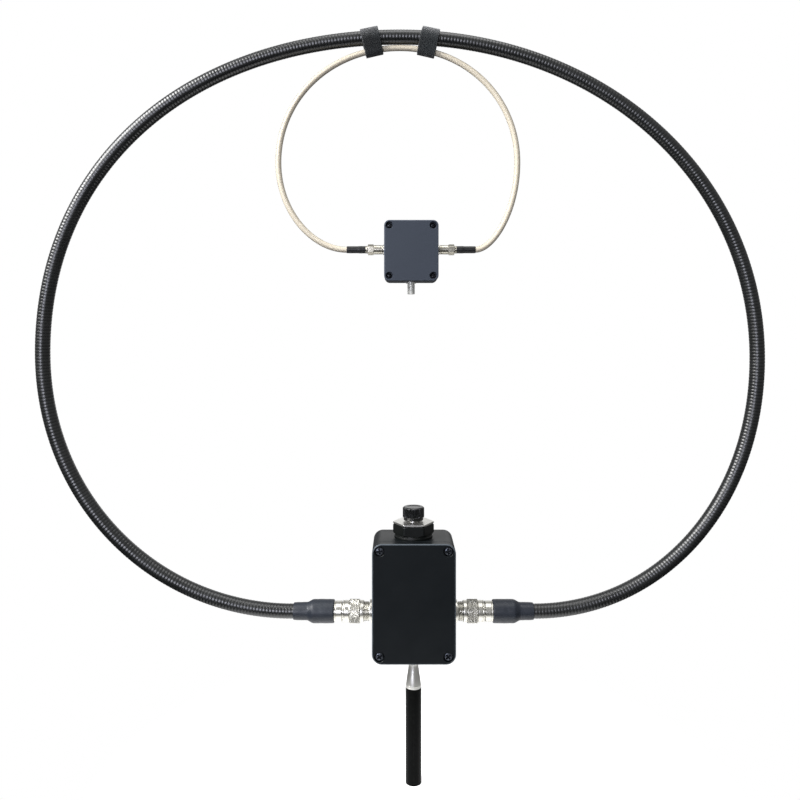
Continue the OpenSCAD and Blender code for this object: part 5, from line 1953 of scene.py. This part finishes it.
@dataclass
class Balun:
    """Unbroken winding on the ferrite ring inside the coupling box."""

    turns: int = 8
    gap: float = 0.1
    wire_r: float = 0.4
    wire_sides: int = 10
    steps: int = 30
    first: float = 0.03
    covered: float = 0.94

    def build(self) -> None:
        """Winds one wire around the ring, with its two ends side by side."""
        low, high = span("balun_core")
        side = high[1] - low[1]
        core_r = (high[0] - low[0]) / 2 - side / 2
        winding_r = math.hypot(side, side) / 2 + self.gap + self.wire_r
        share = np.linspace(0, 1, self.turns * self.steps + 1)
        ring_angle = TURN * (self.first + self.covered * share)
        turn_angle = TURN * self.turns * share
        out, up = core_r + winding_r * np.cos(turn_angle), winding_r * np.sin(turn_angle)
        line = np.stack([out * np.cos(ring_angle), up, out * np.sin(ring_angle)], axis=-1)
        heading = np.gradient(line, axis=0)
        heading /= np.linalg.norm(heading, axis=1)[:, None]
        ring_way = np.stack([-np.sin(ring_angle), np.zeros_like(share), np.cos(ring_angle)], axis=-1)
        first = np.cross(heading, ring_way)
        first /= np.linalg.norm(first, axis=1)[:, None]
        second = np.cross(heading, first)
        angle = np.arange(self.wire_sides)[:, None] / self.wire_sides * TURN
        circle = first[:, None] * np.cos(angle) + second[:, None] * np.sin(angle)
        rings = line[:, None] + self.wire_r * circle + (low + high) / 2
        dress("balun_winding", Sculpt().skin(rings).mesh(), WIRE, even=False)


@dataclass
class InnerWorks:
    """Pieces inside the boxes and plugs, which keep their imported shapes."""

    finishes: Sequence[tuple[Finish, str]] = (
        (STEEL, "mast_stud rotor_shaft"),
        (RUBBER, "tuner_seal coupler_seal"),
        (BRASS, "mast_insert jack_contacts plug_pins coupler_jack_pins"),
        (FERRULE_NICKEL, "shaft_bushing"),
        (ALUMINIUM, "capacitor_frame stator_lower stator_upper rotor_plates"),
        (CERAMIC, "stator_insulators"),
        (COPPER, "link_left link_right main_loop_conductor"),
        (INSULATOR, "jack_insulators plug_insulators coupler_jack_insulators"),
        (NICKEL, "jack_nuts coupler_jack_nuts"),
        (SCREW_BLACK, "knob_set_screw"),
        (BOARD, "junction_board"),
        (FERRITE, "balun_core"),
    )

    def build(self) -> None:
        """Gives each kept node its finish."""
        for finish, nodes in self.finishes:
            for node in nodes.split():
                materials = frame["nodes"][node].data.materials
                materials.clear()
                materials.append(finish.material())
                log.info("%s: kept, %s", node, finish.name)


@dataclass
class Softbox:
    """A large square lamp, in metres."""

    name: str
    place: Place
    width: float
    watts: float
    tint: str = "#ffffff"

    def hang(self, target: Place) -> None:
        """Hangs the lamp so that it faces a point.

        Args:
            target: Point to face.
        """
        light = bpy.data.lights.new(self.name, "AREA")
        light.shape = "SQUARE"
        light.size = self.width
        light.energy = self.watts
        light.color = paint(self.tint)[:3]
        lamp = shown(self.name, light)
        lamp.location = self.place
        lamp.rotation_mode = "QUATERNION"
        lamp.rotation_quaternion = (Vector(target) - Vector(self.place)).to_track_quat("-Z", "Y")
        lamp.visible_camera = False


@dataclass
class Studio:
    """Pale floor, soft light and the camera, in metres."""

    floor_r: float = 1.5
    floor_t: float = 0.002
    floor_segments: int = 128
    eye: Place = (-0.0113, -0.671, 0.3742)
    lens: float = 36.0
    sensor: float = 36.0
    shift_y: float = -0.08
    target: Place = (0.0, 0.0, 0.33)
    sky: tuple[float, float] = (0.06, 0.5)
    sky_range: tuple[float, float] = (-0.6, 0.7)
    sky_strength: float = 0.9
    lamps: Sequence[Softbox] = (
        Softbox("key_lamp", (-1.3, -0.65, 1.35), 0.9, 46.0),
        Softbox("front_lamp", (-0.8, -2.2, 0.6), 1.0, 25.0, "#eff1ff"),
        Softbox("top_lamp", (0.1, -0.2, 2.2), 1.2, 12.0),
        Softbox("rim_lamp", (0.2, 1.9, 0.85), 1.2, 3.0),
    )

    def build(self) -> None:
        """Makes the floor, the lamps, the surroundings and the camera."""
        self.floor()
        for lamp in self.lamps:
            lamp.hang(self.target)
        self.surroundings()
        self.camera()

    def floor(self) -> None:
        """Makes a round floor under the mast's end, which throws no light back."""
        radius = self.floor_r / MM
        profile = [(-self.floor_t / MM, radius), (0.0, radius)]
        mesh = Sculpt().skin(turned(profile, self.floor_segments)).mesh()
        mesh.materials.append(FLOOR_PALE.material())
        floor = shown("pale_floor", mesh)
        floor.visible_diffuse = False

    def surroundings(self) -> None:
        """Lights the scene from a pale sky that is dimmer towards the horizon."""
        world = bpy.data.worlds.new("studio")
        world.use_nodes = True
        graph = Graph(world.node_tree)
        height = graph.add("SeparateXYZ", {0: graph.add("TexCoord").outputs["Generated"]}).outputs[2]
        shade = graph.remap(height, *self.sky_range, *self.sky)
        lighting = graph.add("Background", {"Color": shade, "Strength": self.sky_strength})
        backdrop = graph.add("Background", {"Color": WHITE, "Strength": 1.0})
        seen = graph.add("LightPath").outputs["Is Camera Ray"]
        both = graph.add("MixShader", {0: seen, 1: lighting.outputs[0], 2: backdrop.outputs[0]})
        graph.feed(world.node_tree.nodes["World Output"].inputs["Surface"], both.outputs[0])
        bpy.context.scene.world = world

    def camera(self) -> None:
        """Places the camera level in front of the loop, at the photograph's height."""
        lens = bpy.data.cameras.new("camera")
        lens.lens = self.lens
        lens.sensor_width = self.sensor
        lens.shift_y = self.shift_y
        camera = shown("camera", lens)
        camera.location = self.eye
        camera.rotation_euler = (TURN / 4, 0.0, 0.0)
        bpy.context.scene.camera = camera
        bpy.context.scene.view_settings.view_transform = "Standard"


def tuning_box() -> Enclosure:
    """Describes the tuning box.

    Returns:
        The box, with holes for its sockets, its mast insert and its shaft.
    """
    (_, _, bottom), (half_w, _, top) = span("tuner_case")
    socket_r, bush_r, insert_r = 8.0, 5.05, 6.1
    clear, through = 1.0, 4.0
    reach = half_w + 2 * clear
    holes = [
        Rod((0.0, 0.0, centre("jack_left")[2]), ACROSS, -reach, reach, socket_r),
        Rod((0.0, 0.0, top), UPWARD, -through, clear, bush_r),
        Rod((0.0, 0.0, bottom), UPWARD, -clear, through, insert_r),
    ]
    return Enclosure(
        "tuner", CASE_BLACK, SCREW_PAINTED_BRIGHT, corner_r=8.0, wall=2.5, screw_inset=6.1, pillar_r=4.8,
        recess_r=4.0, recess=3.0, head_r=3.6, head_h=2.4, thread_r=1.5, thread_len=14.0, holes=holes,
        screw_turns=[math.radians(turn) for turn in (35, 8, 40, 12)],
    )


def coupling_box() -> Enclosure:
    """Describes the coupling box.

    Returns:
        The box, with holes for its three sockets and bosses for its board.
    """
    case_low, case_high = span("coupler_case")
    board_low, board_high = span("junction_board")
    middle = centre("coupler_case")[0]
    level = centre("coupler_jack_left")[2]
    socket_r, reach, clear, through = 3.225, 24.0, 1.0, 4.0
    holes = [
        Rod((middle, 0.0, level), ACROSS, -reach, reach, socket_r),
        Rod((middle, 0.0, case_low[2]), UPWARD, -clear, through, socket_r),
    ]
    board = centre("junction_board")
    share_x, share_z, boss_r, boss_seat = 0.35, 0.38, 2.0, 1.1
    spread = (board_high - board_low) * (share_x, 0.0, share_z)
    boss_end = case_high[1] - boss_seat
    bosses = []
    for way_x in (-1, 1):
        for way_z in (-1, 1):
            spot = (board[0] + way_x * spread[0], 0.0, board[2] + way_z * spread[2])
            bosses.append(Rod(spot, BACKWARD, board_high[1], boss_end, boss_r))
    return Enclosure(
        "coupler", CASE_PAINTED_GREY, SCREW_BLACK, corner_r=4.5, wall=2.2, screw_inset=4.3, pillar_r=3.45,
        recess_r=2.9, recess=4.2, head_r=2.0, head_h=1.6, thread_r=1.1, thread_len=9.0, holes=holes,
        bosses=bosses,
    )


def main() -> None:
    logging.basicConfig(level=logging.INFO, format="%(message)s")
    Studio().build()
    Mast().build()
    tuning_box().build()
    TuningStack().build()
    RibbedLoop().build()
    for side in Side:
        LoopSocket("tuner_case", side.axis, f"jack_{side.word}").build()
        LoopPlug("tuner_case", side.axis, f"jack_{side.word}", side.word).build()
    CouplingLoop().build()
    coupling_box().build()
    for side in Side:
        ScrewSocket("coupler_case", side.axis, f"coupler_jack_{side.word}").build()
    ScrewSocket("coupler_case", DOWNWARD, "feed_jack", FEED_NICKEL).build()
    for side in Side:
        SmallPlug("coupler_case", side.axis, f"coupler_plug_{side.word}", side.word).build()
    Balun().build()
    InnerWorks().build()


if __name__ == "__main__":
    main()
